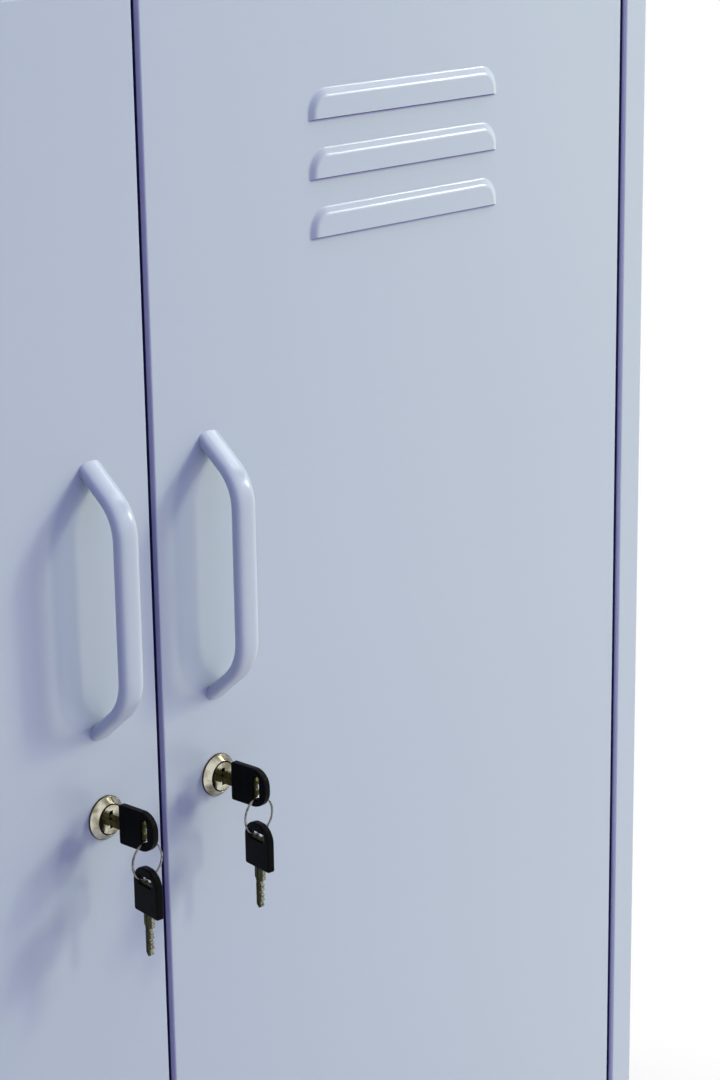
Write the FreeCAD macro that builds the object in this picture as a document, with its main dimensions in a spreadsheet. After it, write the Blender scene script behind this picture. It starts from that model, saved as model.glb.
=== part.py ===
import FreeCAD, Part
import math
import os
import Sketcher

# Low two-door steel locker cabinet on four legs.
#
# The carcass is folded from sheet steel: two side panels with front and rear posts, a top and a
# bottom tray, a back sheet and a centre partition whose front edge is the strike for both locks.
# Each door is a folded pan with three pressed louvres, a bent bar handle and a cam lock, and turns
# on two pivot pins. A key with a plastic head stands in each lock and carries a ring and a spare.
#
# Frame: X to the right, Y from front to back, Z up, millimetres. The origin is on the floor under
# the centre of the whole object. Carcass and door parts are drawn from the front face (Y = 0) and
# the carcass's underside (Z = 0), then placed by the cells front_y and leg_height.

doc = FreeCAD.newDocument("locker_cabinet")
dims = doc.addObject("Spreadsheet::Sheet", "dims")

SIZES = {
    # carcass
    "cabinet_width": 800,
    "carcass_height": 850,
    "carcass_depth": 398,
    "front_y": -180.25,
    "sheet_gauge": 1,
    "fold_radius": 2,
    "stile_width": 20,
    "front_post_depth": 36,
    "rear_post_depth": 20,
    "rail_height": 20,
    "stop_lip_y": 22.5,
    "stop_lip_drop": 12,
    "tray_return": 31,
    "back_inset": 1,
    # centre partition
    "strike_width": 40,
    "strike_y": 20,
    "strike_gauge": 2,
    "rear_flange_width": 20,
    "buffer_width": 8,
    "buffer_x": 9,
    "buffer_spread": 600,
    # doors
    "door_depth": 18,
    "door_return": 12,
    "hinge_gap": 5,
    "centre_gap": 4.5,
    "end_gap": 3,
    "louvre_x": 189.5,
    "louvre_width": 148,
    "louvre_height": 15.5,
    "louvre_reach": 2.2,
    "louvre_slope": 3.5,
    "louvre_corner": 12.5,
    "louvre_pitch": 30,
    "louvre_drop": 73,
    "stiffener_x": 80,
    "stiffener_width": 20,
    "stiffener_foot": 12,
    "stiffener_depth": 12,
    "stiffener_inset": 20,
    # pivot hinges
    "pivot_inset": 9,
    "pin_radius": 3,
    "pin_reach": 11,
    "bush_neck": 10,
    "bush_block": 14,
    "bush_length": 8,
    "running_clearance": 0.05,
    # handles
    "handle_x": 39.7,
    "handle_top_drop": 222.7,
    "handle_span": 132.6,
    "handle_reach": 23,
    "handle_rise": 19.5,
    "handle_width": 14.8,
    "handle_thickness": 6.8,
    "handle_bend": 26,
    "handle_screw": 3.8,
    "handle_screw_shift": 1.2,
    "handle_screw_grip": 3.4,
    # cam locks
    "lock_x": 39,
    "lock_drop": 400.5,
    "rosette_radius": 11.4,
    "rosette_height": 4,
    "rosette_slope": 3.1,
    "barrel_width": 17.6,
    "barrel_length": 24.7,
    "plug_radius": 7.7,
    "plug_proud": 0.2,
    "cam_seat": 6.4,
    "keyway_width": 2.3,
    "keyway_height": 9,
    "keyway_depth": 18,
    "cam_y": 25,
    "cam_gauge": 2,
    "cam_length": 34,
    "cam_width": 15,
    "cam_screw": 3.8,
    "cam_screw_grip": 9,
    "clip_plate_width": 26,
    "clip_plate_gauge": 2,
    # keys
    "key_head_start": 11.5,
    "key_head_length": 24.5,
    "key_head_width": 20.6,
    "key_head_gauge": 4,
    "key_head_corner": 9,
    "key_head_bridge": 4.8,
    "key_slot_width": 4.4,
    "key_slot_length": 13.2,
    "key_bow_length": 8,
    "key_shoulder_length": 6,
    "key_shoulder_width": 7,
    "key_blade_length": 16.3,
    "key_blade_width": 5,
    "key_blade_gauge": 1.9,
    "ring_radius": 9.6,
    "ring_wire": 0.6,
    "ring_slack": 1,
    "spare_twist": -10,
    # shelves
    "shelf_level": 450,
    "shelf_thickness": 22,
    "shelf_front": 30,
    "shelf_depth": 362,
    "shelf_side_gap": 1,
    "shelf_return": 10,
    "slot_width": 8.6,
    "slot_height": 4.6,
    "slot_first": 243,
    "slot_pitch": 100,
    "slot_front": 30,
    "slot_rear": 385,
    "slot_shift": 12,
    "clip_width": 8,
    "clip_ledge": 10,
    "clip_gauge": 1.5,
    # legs
    "leg_height": 160,
    "leg_tube": 30,
    "leg_wall": 1.5,
    "leg_plate": 70,
    "leg_plate_gauge": 3,
    "leg_inset": 45,
    "leg_hole_offset": 25,
    "leg_bolt": 6,
    "leg_bolt_head": 13,
    "leg_nut": 10,
    "glide_height": 5,
    "glide_spigot": 15,
    # back sheet fixings
    "back_screw": 3.6,
    "screw_head": 7,
    "screw_head_height": 2,
    "anchor_radius": 3.25,
    "anchor_spread": 600,
    "anchor_height": 810,
}

for row, (name, size) in enumerate(SIZES.items(), start=1):
    dims.set(f"A{row}", name)
    dims.set(f"B{row}", str(size))
    dims.setAlias(f"B{row}", name)
doc.recompute()

# Expressions that several parts share.
HALF = "dims.cabinet_width / 2"
GAUGE = "dims.sheet_gauge"
STILE = "(dims.cabinet_width / 2 - dims.stile_width)"
DOOR_BOTTOM = "(dims.rail_height + dims.end_gap)"
DOOR_TOP = "(dims.carcass_height - dims.rail_height - dims.end_gap)"
DOOR_INNER = "(dims.centre_gap / 2)"
DOOR_OUTER = "(dims.cabinet_width / 2 - dims.stile_width - dims.hinge_gap)"
PIVOT_X = "(dims.cabinet_width / 2 - dims.stile_width - dims.hinge_gap - dims.pivot_inset)"
HANDLE_SCREW_DROPS = ("dims.handle_screw_shift", "(dims.handle_span - dims.handle_screw_shift)")
LOCK_Z = "(dims.carcass_height - dims.rail_height - dims.end_gap - dims.lock_drop)"
SIDES = {"left": -1, "right": 1}


def size(expression):
    """The value of an expression over the sheet's cells."""
    return float(dims.evalExpression(str(expression)))


# ---------------------------------------------------------------- drawing helpers

def new_body(label):
    body = doc.addObject("PartDesign::Body", label)
    body.Label = label
    return body


def place(obj, x="0", y="0", z="0"):
    """Bind an object's place to the sheet: carcass parts start at the front face, above the legs."""
    obj.setExpression("Placement.Base.x", str(x))
    obj.setExpression("Placement.Base.y", str(y))
    obj.setExpression("Placement.Base.z", str(z))


def place_on_carcass(obj, x="0", z="0"):
    place(obj, x, "dims.front_y", f"dims.leg_height + {z}")


def sketch_on(body, name, plane, offset="0"):
    """A sketch on one of the body's origin planes, moved along the plane's normal."""
    sketch = body.newObject("Sketcher::SketchObject", name)
    support = next(f for f in body.Origin.OriginFeatures if f.Role == plane)
    sketch.AttachmentSupport = [(support, "")]
    sketch.MapMode = "FlatFace"
    sketch.setExpression("AttachmentOffset.Base.z", str(offset))
    return sketch


def bind(sketch, kind, geometry, point, expression):
    """Tie one coordinate of a sketch point to an expression."""
    index = sketch.addConstraint(Sketcher.Constraint(kind, -1, 1, geometry, point, size(expression)))
    sketch.setExpression(f"Constraints[{index}]", str(expression))


def outline(sketch, corners):
    """A closed outline of straight lines; each corner is a pair of expressions."""
    first = sketch.GeometryCount
    count = len(corners)
    points = [FreeCAD.Vector(size(u), size(v), 0) for u, v in corners]
    for index in range(count):
        sketch.addGeometry(Part.LineSegment(points[index], points[(index + 1) % count]), False)
    for index in range(count):
        following = first + (index + 1) % count
        sketch.addConstraint(Sketcher.Constraint("Coincident", first + index, 2, following, 1))
    for index, (u, v) in enumerate(corners):
        bind(sketch, "DistanceX", first + index, 1, u)
        bind(sketch, "DistanceY", first + index, 1, v)


def rectangle(sketch, u0, v0, u1, v1):
    outline(sketch, [(u0, v0), (u1, v0), (u1, v1), (u0, v1)])


def circle(sketch, u, v, radius):
    centre = FreeCAD.Vector(size(u), size(v), 0)
    index = sketch.addGeometry(Part.Circle(centre, FreeCAD.Vector(0, 0, 1), size(radius)), False)
    bind(sketch, "DistanceX", index, 3, u)
    bind(sketch, "DistanceY", index, 3, v)
    radius_index = sketch.addConstraint(Sketcher.Constraint("Radius", index, size(radius)))
    sketch.setExpression(f"Constraints[{radius_index}]", str(radius))


def polygon(sketch, u, v, flats, sides):
    """A regular outline about (u, v), flats being its width across two opposite sides."""
    corner = f"({flats}) / {round(2 * math.cos(math.pi / sides), 9)}"
    corners = []
    for number in range(sides):
        angle = 2 * math.pi * (number + 0.5) / sides
        corners.append((f"{u} + {round(math.cos(angle), 9)} * {corner}",
                        f"{v} + {round(math.sin(angle), 9)} * {corner}"))
    outline(sketch, corners)


def pad(sketch, length, back=False, both=False):
    body = sketch.getParentGeoFeatureGroup()
    feature = body.newObject("PartDesign::Pad", sketch.Name + "_pad")
    feature.Profile = sketch
    feature.setExpression("Length", str(length))
    feature.Reversed = back
    feature.Midplane = both
    doc.recompute()
    return feature


def pocket(sketch, length, back=False, both=False):
    """Cut a sketch's outline out of its body, and make sure that it did cut."""
    body = sketch.getParentGeoFeatureGroup()
    before = body.Shape.Volume
    feature = body.newObject("PartDesign::Pocket", sketch.Name + "_pocket")
    feature.Profile = sketch
    feature.setExpression("Length", str(length))
    feature.Reversed = back
    feature.Midplane = both
    doc.recompute()
    if body.Shape.Volume > before - 1e-6:
        raise RuntimeError(f"{feature.Name} cuts nothing")
    return feature


def turn(sketch, axis):
    """Revolve a sketch fully about one of its own axes (H_Axis or V_Axis)."""
    body = sketch.getParentGeoFeatureGroup()
    feature = body.newObject("PartDesign::Revolution", sketch.Name + "_turned")
    feature.Profile = sketch
    feature.ReferenceAxis = (sketch, [axis])
    feature.Angle = 360
    doc.recompute()
    return feature


def repeat_up(features, pitch, count, down=False):
    """Repeat features along Z."""
    body = features[0].getParentGeoFeatureGroup()
    pattern = body.newObject("PartDesign::LinearPattern", features[0].Name + "_row")
    pattern.Originals = features
    axis = next(f for f in body.Origin.OriginFeatures if f.Role == "Z_Axis")
    pattern.Direction = (axis, [""])
    pattern.Reversed = down
    pattern.Mode = "Extent"
    pattern.setExpression("Length", f"{pitch} * {count - 1}")
    pattern.Occurrences = count
    body.Tip = pattern
    doc.recompute()
    return pattern


def edges_where(feature, test):
    return [f"Edge{number}" for number, edge in enumerate(feature.Shape.Edges, start=1) if test(edge)]


def runs_along(edge, axis):
    """True for a straight edge parallel to X (0), Y (1) or Z (2)."""
    ends = [vertex.Point for vertex in edge.Vertexes]
    if len(ends) != 2 or edge.Curve.TypeId != "Part::GeomLine":
        return False
    direction = (ends[1] - ends[0]).normalize()
    return abs(abs(direction[axis]) - 1) < 1e-6


def near(value, expression, tolerance=0.01):
    return abs(value - size(expression)) < tolerance


def soften(feature, edges, radius):
    body = feature.getParentGeoFeatureGroup()
    fillet = body.newObject("PartDesign::Fillet", feature.Name + "_soft")
    fillet.Base = (feature, edges)
    fillet.setExpression("Radius", str(radius))
    doc.recompute()
    return fillet


def bevel(feature, edges, size_expression):
    body = feature.getParentGeoFeatureGroup()
    chamfer = body.newObject("PartDesign::Chamfer", feature.Name + "_bevel")
    chamfer.Base = (feature, edges)
    chamfer.setExpression("Size", str(size_expression))
    doc.recompute()
    return chamfer


def group(label, pattern_piece, places):
    """Copies of one small piece as separate solids of one node."""
    copies = []
    for where in places:
        copy = pattern_piece.Shape.copy()
        copy.Placement = where.multiply(pattern_piece.Shape.Placement)
        copies.append(copy)
    feature = doc.addObject("Part::Feature", label)
    feature.Label = label
    feature.Shape = Part.makeCompound(copies)
    return feature


def at(x, y, z, axis=(0, 0, 1), degrees=0):
    rotation = FreeCAD.Rotation(FreeCAD.Vector(*axis), degrees)
    return FreeCAD.Placement(FreeCAD.Vector(x, y, z), rotation)


# ---------------------------------------------------------------- carcass

def side_panel(side):
    """One folded sheet: outer wall, 20 mm stile and rear face, each turned back as an open post."""
    sign = SIDES[side]
    body = new_body(f"side_panel_{side}")
    depth = f"(dims.carcass_depth - {GAUGE})"
    front = "dims.front_post_depth"
    rear = f"({depth} - dims.rear_post_depth)"
    inner = f"{sign} * {STILE}"
    inner_back = f"{sign} * ({STILE} + {GAUGE})"
    outer = f"{sign} * {HALF}"
    outer_back = f"{sign} * ({HALF} - {GAUGE})"
    plan = sketch_on(body, f"plan_{side}", "XY_Plane")
    outline(plan, [
        (inner, front), (inner, "0"), (outer, "0"), (outer, depth),
        (inner, depth), (inner, rear), (inner_back, rear), (inner_back, f"{depth} - {GAUGE}"),
        (outer_back, f"{depth} - {GAUGE}"), (outer_back, GAUGE), (inner_back, GAUGE), (inner_back, front),
    ])
    folded = pad(plan, f"dims.carcass_height - {GAUGE}")
    stile_edges = edges_where(folded, lambda e: runs_along(e, 2) and near(e.CenterOfMass.y, "0"))
    soften(folded, stile_edges, f"dims.fold_radius * 0.9")

    # The inner flanges of both posts stop short of the trays.
    for end, level, length, upward in (
            ("foot", "0", "dims.rail_height", True),
            ("head", f"dims.carcass_height - {GAUGE}", f"dims.rail_height - {GAUGE}", False)):
        notch = sketch_on(body, f"{end}_notch_{side}", "XY_Plane", level)
        beyond = f"{sign} * ({STILE} - 1)"
        rectangle(notch, beyond, f"{GAUGE}", inner_back, f"{front} + 1")
        rectangle(notch, beyond, f"{rear} - 1", inner_back, f"{depth} - {GAUGE}")
        pocket(notch, length, back=upward)

    # Slots for the shelf clips in both posts.
    slots = sketch_on(body, f"slots_{side}", "YZ_Plane", f"{sign} * ({STILE} + {GAUGE} / 2) - 1.5")
    for centre in ("dims.slot_front", "dims.slot_rear"):
        clip_slot(slots, centre, "dims.slot_first")
    cut = pocket(slots, "3", back=True)
    repeat_up([cut], "dims.slot_pitch", 4)
    place_on_carcass(body)
    return body


def clip_slot(sketch, y, z):
    rectangle(sketch, f"{y} - dims.slot_width / 2", f"{z} - dims.slot_height / 2",
              f"{y} + dims.slot_width / 2", f"{z} + dims.slot_height / 2")


def top_panel():
    """Flat sheet folded down into the front rail, with a stop lip behind the doors."""
    body = new_body("top_panel")
    top = "dims.carcass_height"
    rail = "(dims.carcass_height - dims.rail_height)"
    depth = f"(dims.carcass_depth - {GAUGE})"
    lip = "dims.stop_lip_y"
    section = sketch_on(body, "top_section", "YZ_Plane")
    outline(section, [
        ("0", top), (depth, top), (depth, rail), (f"{depth} - {GAUGE}", rail),
        (f"{depth} - {GAUGE}", f"{top} - {GAUGE}"), (GAUGE, f"{top} - {GAUGE}"), (GAUGE, f"{rail} + {GAUGE}"),
        (f"{lip} + {GAUGE}", f"{rail} + {GAUGE}"), (f"{lip} + {GAUGE}", f"{rail} - dims.stop_lip_drop"),
        (lip, f"{rail} - dims.stop_lip_drop"), (lip, rail), ("0", rail),
    ])
    pad(section, f"2 * {STILE}", both=True)
    for side, sign in SIDES.items():
        wing = sketch_on(body, f"top_wing_{side}", "XZ_Plane")
        rectangle(wing, f"{sign} * ({STILE} - 5)", f"{top} - {GAUGE}", f"{sign} * {HALF}", top)
        pad(wing, depth, back=True)
        skirt = sketch_on(body, f"top_skirt_{side}", "XZ_Plane", "-2")
        rectangle(skirt, f"{sign} * ({HALF} - 2 * {GAUGE})", f"{rail} - {GAUGE}",
                  f"{sign} * ({HALF} - {GAUGE})", f"{top} - {GAUGE}")
        last = pad(skirt, f"{depth} - 4", back=True)
    front_edges = edges_where(
        last, lambda e: runs_along(e, 0) and near(e.CenterOfMass.y, "0")
        and near(e.CenterOfMass.z, rail))
    soften(last, front_edges, "dims.fold_radius * 0.45")
    place_on_carcass(body)
    return body


def bottom_panel():
    """Tray turned upside down: the floor sheet with skirts and a flange round its underside."""
    body = new_body("bottom_panel")
    floor = "dims.rail_height"
    depth = f"(dims.carcass_depth - {GAUGE})"
    edge = "dims.tray_return"
    section = sketch_on(body, "bottom_section", "YZ_Plane")
    outline(section, [
        ("0", floor), (depth, floor), (depth, "0"), (f"{depth} - {edge}", "0"), (f"{depth} - {edge}", GAUGE),
        (f"{depth} - {GAUGE}", GAUGE), (f"{depth} - {GAUGE}", f"{floor} - {GAUGE}"),
        (GAUGE, f"{floor} - {GAUGE}"), (GAUGE, GAUGE), (edge, GAUGE), (edge, "0"), ("0", "0"),
    ])
    folded = pad(section, f"2 * {STILE}", both=True)
    front_edges = edges_where(folded, lambda e: runs_along(e, 0) and near(e.CenterOfMass.y, "0"))
    soften(folded, front_edges, "dims.fold_radius * 0.45")
    for side, sign in SIDES.items():
        wing = sketch_on(body, f"bottom_wing_{side}", "XZ_Plane", f"-{GAUGE}")
        inner = f"{sign} * ({STILE} - 5)"
        outer = f"{sign} * ({HALF} - {GAUGE})"
        outline(wing, [
            (inner, floor), (outer, floor), (outer, "0"), (f"{sign} * ({HALF} - {edge} - {GAUGE})", "0"),
            (f"{sign} * ({HALF} - {edge} - {GAUGE})", GAUGE), (f"{sign} * ({HALF} - 2 * {GAUGE})", GAUGE),
            (f"{sign} * ({HALF} - 2 * {GAUGE})", f"{floor} - {GAUGE}"), (inner, f"{floor} - {GAUGE}"),
        ])
        pad(wing, f"{depth} - 2 * {GAUGE}", back=True)
    bolt_holes = sketch_on(body, "leg_bolt_holes", "XY_Plane", f"{GAUGE} * 1.5")
    for x, y in leg_bolts():
        polygon(bolt_holes, x, y, "dims.leg_bolt + 0.2", 4)
    pocket(bolt_holes, f"{GAUGE} * 2")
    place_on_carcass(body)
    return body


def leg_centres():
    """Leg centres as expressions, in carcass coordinates, with the signs towards the corner."""
    middle = f"(dims.carcass_depth / 2)"
    for sign_x in (-1, 1):
        for sign_y in (-1, 1):
            x = f"{sign_x} * ({HALF} - dims.leg_inset)"
            y = f"{middle} + {sign_y} * ({middle} - dims.leg_inset)"
            yield sign_x, sign_y, x, y


def leg_bolts():
    """Three bolts per leg: every corner of the plate but the one over the open underside."""
    reach = "dims.leg_hole_offset"
    for sign_x, sign_y, x, y in leg_centres():
        for towards_x, towards_y in ((1, 1), (1, -1), (-1, 1)):
            yield f"{x} + {sign_x * towards_x} * {reach}", f"{y} + {sign_y * towards_y} * {reach}"


def back_screws():
    """Screw places in the back sheet as (x, z) expressions."""
    height = "dims.carcass_height"
    for sign in SIDES.values():
        for share in (0.08, 0.5, 0.92):
            yield f"{sign} * ({HALF} - dims.stile_width / 2)", f"{height} * {share}"
        for level in ("dims.rail_height / 2", f"{height} - dims.rail_height / 2"):
            yield f"{sign} * dims.cabinet_width / 6", level


def back_panel():
    """Flat back sheet with two holes for wall anchors near the top."""
    body = new_body("back_panel")
    inset = "dims.back_inset"
    sheet = sketch_on(body, "back_sheet", "XZ_Plane", f"-(dims.carcass_depth - {GAUGE})")
    rectangle(sheet, f"-{HALF} + {inset}", inset, f"{HALF} - {inset}", f"dims.carcass_height - {inset}")
    for sign in SIDES.values():
        circle(sheet, f"{sign} * dims.anchor_spread / 2", "dims.anchor_height", "dims.anchor_radius")
    for x, z in back_screws():
        polygon(sheet, x, z, "dims.back_screw + 0.2", 4)
    pad(sheet, GAUGE, back=True)
    place_on_carcass(body)
    return body


def back_screw_holes(body, name, wanted):
    """The same screw holes through whichever flange lies behind the back sheet."""
    holes = sketch_on(body, name, "XZ_Plane", f"-(dims.carcass_depth - {GAUGE} * 2.5)")
    for x, z in back_screws():
        if wanted(size(x), size(z)):
            polygon(holes, x, z, "dims.back_screw + 0.2", 4)
    pocket(holes, f"{GAUGE} * 2")


def centre_partition():
    """Upright wall with a wide strike flange in front for both cams and a narrow one behind."""
    body = new_body("centre_partition")
    depth = f"(dims.carcass_depth - {GAUGE})"
    strike = "dims.strike_width / 2"
    near_face = "dims.strike_y"
    far_face = "(dims.strike_y + dims.strike_gauge)"
    rear = "dims.rear_flange_width / 2"
    wall = f"{GAUGE} / 2"
    plan = sketch_on(body, "partition_plan", "XY_Plane", "dims.rail_height")
    outline(plan, [
        (f"-{strike}", near_face), (strike, near_face), (strike, far_face), (wall, far_face),
        (wall, f"{depth} - {GAUGE}"), (rear, f"{depth} - {GAUGE}"), (rear, depth), (f"-{rear}", depth),
        (f"-{rear}", f"{depth} - {GAUGE}"), (f"-{wall}", f"{depth} - {GAUGE}"), (f"-{wall}", far_face),
        (f"-{strike}", far_face),
    ])
    pad(plan, f"dims.carcass_height - dims.rail_height - {GAUGE}")
    relief = sketch_on(body, "partition_relief", "YZ_Plane")
    lip = f"(dims.stop_lip_y + {GAUGE})"
    rail = "(dims.carcass_height - dims.rail_height)"
    rectangle(relief, "0", f"{rail} - dims.stop_lip_drop", lip, "dims.carcass_height")
    rectangle(relief, f"{depth} - {GAUGE}", rail, f"{depth} + 1", "dims.carcass_height")
    pocket(relief, "dims.strike_width + 2", both=True)
    slots = sketch_on(body, "partition_slots", "YZ_Plane", "-2")
    for y in ("dims.slot_front", "dims.slot_front + dims.slot_shift",
              "dims.slot_rear", "dims.slot_rear - dims.slot_shift"):
        clip_slot(slots, y, "dims.slot_first")
    cut = pocket(slots, "4", back=True)
    repeat_up([cut], "dims.slot_pitch", 4)
    place_on_carcass(body)
    return body


def buffer_pad():
    """Rubber pad that a closed door lands on."""
    body = new_body("buffer_pattern")
    face = sketch_on(body, "buffer_face", "XZ_Plane", "-dims.strike_y")
    polygon(face, "0", "0", "dims.buffer_width", 8)
    pad(face, "dims.strike_y - dims.door_depth")
    return body


# ---------------------------------------------------------------- doors

def louvre_outline(sketch, inset, bottom, corner):
    """A low arch: straight open bottom edge, short upright ends and two large upper corners."""
    width = size("dims.louvre_width") / 2 - size(inset)
    height = size("dims.louvre_height") - size(inset)
    radius = size(corner)
    middle = size(sketch_centre(sketch))
    base = size(bottom)
    vector = FreeCAD.Vector
    left, right, top = middle - width, middle + width, base + height
    upper_right = Part.ArcOfCircle(Part.Circle(vector(right - radius, top - radius, 0),
                                               vector(0, 0, 1), radius), 0, math.pi / 2)
    upper_left = Part.ArcOfCircle(Part.Circle(vector(left + radius, top - radius, 0),
                                              vector(0, 0, 1), radius), math.pi / 2, math.pi)
    pieces = [
        Part.LineSegment(vector(left, base, 0), vector(right, base, 0)),
        Part.LineSegment(vector(right, base, 0), vector(right, top - radius, 0)),
        upper_right,
        Part.LineSegment(vector(right - radius, top, 0), vector(left + radius, top, 0)),
        upper_left,
        Part.LineSegment(vector(left, top - radius, 0), vector(left, base, 0)),
    ]
    first = sketch.addGeometry(pieces, False)[0]
    for start, end in ((0, 1), (5, 0)):
        sketch.addConstraint(Sketcher.Constraint("Coincident", first + start, 2, first + end, 1))
    for start, end in ((1, 2), (2, 3), (3, 4), (4, 5)):
        sketch.addConstraint(Sketcher.Constraint("Tangent", first + start, 2, first + end, 1))
    sketch.addConstraint(Sketcher.Constraint("Horizontal", first))
    sketch.addConstraint(Sketcher.Constraint("Vertical", first + 1))
    sketch.addConstraint(Sketcher.Constraint("Vertical", first + 5))
    sketch.addConstraint(Sketcher.Constraint("Equal", first + 2, first + 4))
    radius_index = sketch.addConstraint(Sketcher.Constraint("Radius", first + 2, radius))
    sketch.setExpression(f"Constraints[{radius_index}]", str(corner))
    centre = sketch_centre(sketch)
    bind(sketch, "DistanceX", first, 1, f"{centre} - (dims.louvre_width / 2 - {inset})")
    bind(sketch, "DistanceX", first, 2, f"{centre} + (dims.louvre_width / 2 - {inset})")
    bind(sketch, "DistanceY", first, 1, bottom)
    bind(sketch, "DistanceY", first + 3, 1, f"{bottom} + dims.louvre_height - {inset}")


def louvre_hollow(sketch, inset, bottom, corner):
    """The same arch for the hollow behind, with its two corners cut straight across."""
    centre = sketch_centre(sketch)
    left = f"{centre} - (dims.louvre_width / 2 - {inset})"
    right = f"{centre} + (dims.louvre_width / 2 - {inset})"
    top = f"{bottom} + dims.louvre_height - {inset}"
    cut = f"0.7 * {corner}"
    outline(sketch, [
        (left, bottom), (right, bottom), (right, f"{top} - {cut}"), (f"{right} - {cut}", top),
        (f"{left} + {cut}", top), (left, f"{top} - {cut}"),
    ])


def sketch_centre(sketch):
    """Louvres stand over the middle of their own door."""
    sign = -1 if sketch.Name.endswith("left") else 1
    return f"{sign} * dims.louvre_x"


def loft(kind, lower, upper):
    body = lower.getParentGeoFeatureGroup()
    feature = body.newObject(f"PartDesign::{kind}", lower.Name + "_loft")
    feature.Profile = lower
    feature.Sections = [upper]
    feature.Ruled = True
    doc.recompute()
    return feature


def door(side):
    """Folded pan: front skin, four edges and a return all round, with three pressed louvres."""
    sign = SIDES[side]
    body = new_body(f"door_{side}")
    inner = f"{sign} * {DOOR_INNER}"
    outer = f"{sign} * {DOOR_OUTER}"
    depth = "dims.door_depth"
    turned = "dims.door_return"
    front = sketch_on(body, f"front_{side}", "XZ_Plane")
    rectangle(front, inner, DOOR_BOTTOM, outer, DOOR_TOP)
    block = pad(front, depth, back=True)
    front_edges = edges_where(block, lambda e: near(e.CenterOfMass.y, "0"))
    soften(block, front_edges, "dims.fold_radius * 0.75")

    cavity = sketch_on(body, f"cavity_{side}", "XZ_Plane", f"-{GAUGE}")
    rectangle(cavity, f"{inner} + {sign} * {GAUGE}", f"{DOOR_BOTTOM} + {GAUGE}",
              f"{outer} - {sign} * {GAUGE}", f"{DOOR_TOP} - {GAUGE}")
    pocket(cavity, f"{depth} - 2 * {GAUGE}")
    opening = sketch_on(body, f"opening_{side}", "XZ_Plane", f"-({depth} - {GAUGE} * 1.5)")
    rectangle(opening, f"{inner} + {sign} * {turned}", f"{DOOR_BOTTOM} + {turned}",
              f"{outer} - {sign} * {turned}", f"{DOOR_TOP} - {turned}")
    pocket(opening, f"{GAUGE} * 2")

    # Pressed louvres: a sloping band round a flat face, hollow behind and open along the bottom.
    sill = f"({DOOR_TOP} - dims.louvre_drop)"
    root_outer = sketch_on(body, f"hood_root_{side}", "XZ_Plane")
    louvre_outline(root_outer, "0", sill, "dims.louvre_corner")
    face_outer = sketch_on(body, f"hood_face_{side}", "XZ_Plane", "dims.louvre_reach")
    louvre_outline(face_outer, "dims.louvre_slope", sill, "dims.louvre_corner - dims.louvre_slope")
    hood = loft("AdditiveLoft", root_outer, face_outer)
    root_inner = sketch_on(body, f"hollow_root_{side}", "XZ_Plane", f"-{GAUGE} * 1.2")
    louvre_hollow(root_inner, f"0.3 * {GAUGE}", sill, f"(dims.louvre_corner - {GAUGE})")
    face_inner = sketch_on(body, f"hollow_face_{side}", "XZ_Plane", f"dims.louvre_reach - {GAUGE}")
    louvre_hollow(face_inner, f"(dims.louvre_slope + 0.3 * {GAUGE})", sill,
                  f"(dims.louvre_corner - dims.louvre_slope - {GAUGE})")
    hollow = loft("SubtractiveLoft", root_inner, face_inner)
    repeat_up([hood, hollow], "dims.louvre_pitch", 3, down=True)

    holes = sketch_on(body, f"handle_holes_{side}", "XZ_Plane", "1")
    for drop in HANDLE_SCREW_DROPS:
        polygon(holes, f"{sign} * dims.handle_x", f"{DOOR_TOP} - dims.handle_top_drop - {drop}",
                "dims.handle_screw + 0.2", 6)
    pocket(holes, f"{GAUGE} + 2")
    bushes = sketch_on(body, f"bush_holes_{side}", "XY_Plane", f"{DOOR_TOP} + 1")
    polygon(bushes, f"{sign} * {PIVOT_X}", "dims.pivot_inset", "dims.bush_neck", 4)
    pocket(bushes, "dims.carcass_height")
    lock = sketch_on(body, f"lock_hole_{side}", "XZ_Plane", "1")
    polygon(lock, f"{sign} * dims.lock_x", LOCK_Z, "dims.barrel_width + 0.2", 8)
    pocket(lock, f"{GAUGE} + 2")
    place_on_carcass(body)
    return body


def door_stiffener(side):
    """Hat-shaped channel spot-welded upright to the back of the skin, between lock and louvres."""
    sign = SIDES[side]
    body = new_body(f"door_stiffener_{side}")
    web = "dims.stiffener_width / 2"
    foot = "(dims.stiffener_width / 2 + dims.stiffener_foot)"
    skin = GAUGE
    top = "(dims.stiffener_depth + dims.sheet_gauge)"
    plan = sketch_on(body, f"hat_{side}", "XY_Plane", f"{DOOR_BOTTOM} + dims.stiffener_inset")
    outline(plan, [
        (f"-{foot}", skin), (f"-{web} + {GAUGE}", skin), (f"-{web} + {GAUGE}", f"{top} - {GAUGE}"),
        (f"{web} - {GAUGE}", f"{top} - {GAUGE}"), (f"{web} - {GAUGE}", skin), (foot, skin),
        (foot, f"{skin} + {GAUGE}"), (web, f"{skin} + {GAUGE}"), (web, top), (f"-{web}", top),
        (f"-{web}", f"{skin} + {GAUGE}"), (f"-{foot}", f"{skin} + {GAUGE}"),
    ])
    pad(plan, f"{DOOR_TOP} - {DOOR_BOTTOM} - 2 * dims.stiffener_inset")
    place_on_carcass(body, x=f"{sign} * dims.stiffener_x")
    return body


# ---------------------------------------------------------------- pivot hinges

def pivots(side):
    """Both pivots of a door as places on the rails' faces, each with its Z into the door."""
    x = size(f"{SIDES[side]} * {PIVOT_X}")
    y = size("dims.pivot_inset")
    lower = at(x, y, size("dims.rail_height"))
    upper = at(x, y, size("dims.carcass_height - dims.rail_height"), (1, 0, 0), 180)
    return [lower, upper]


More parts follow.
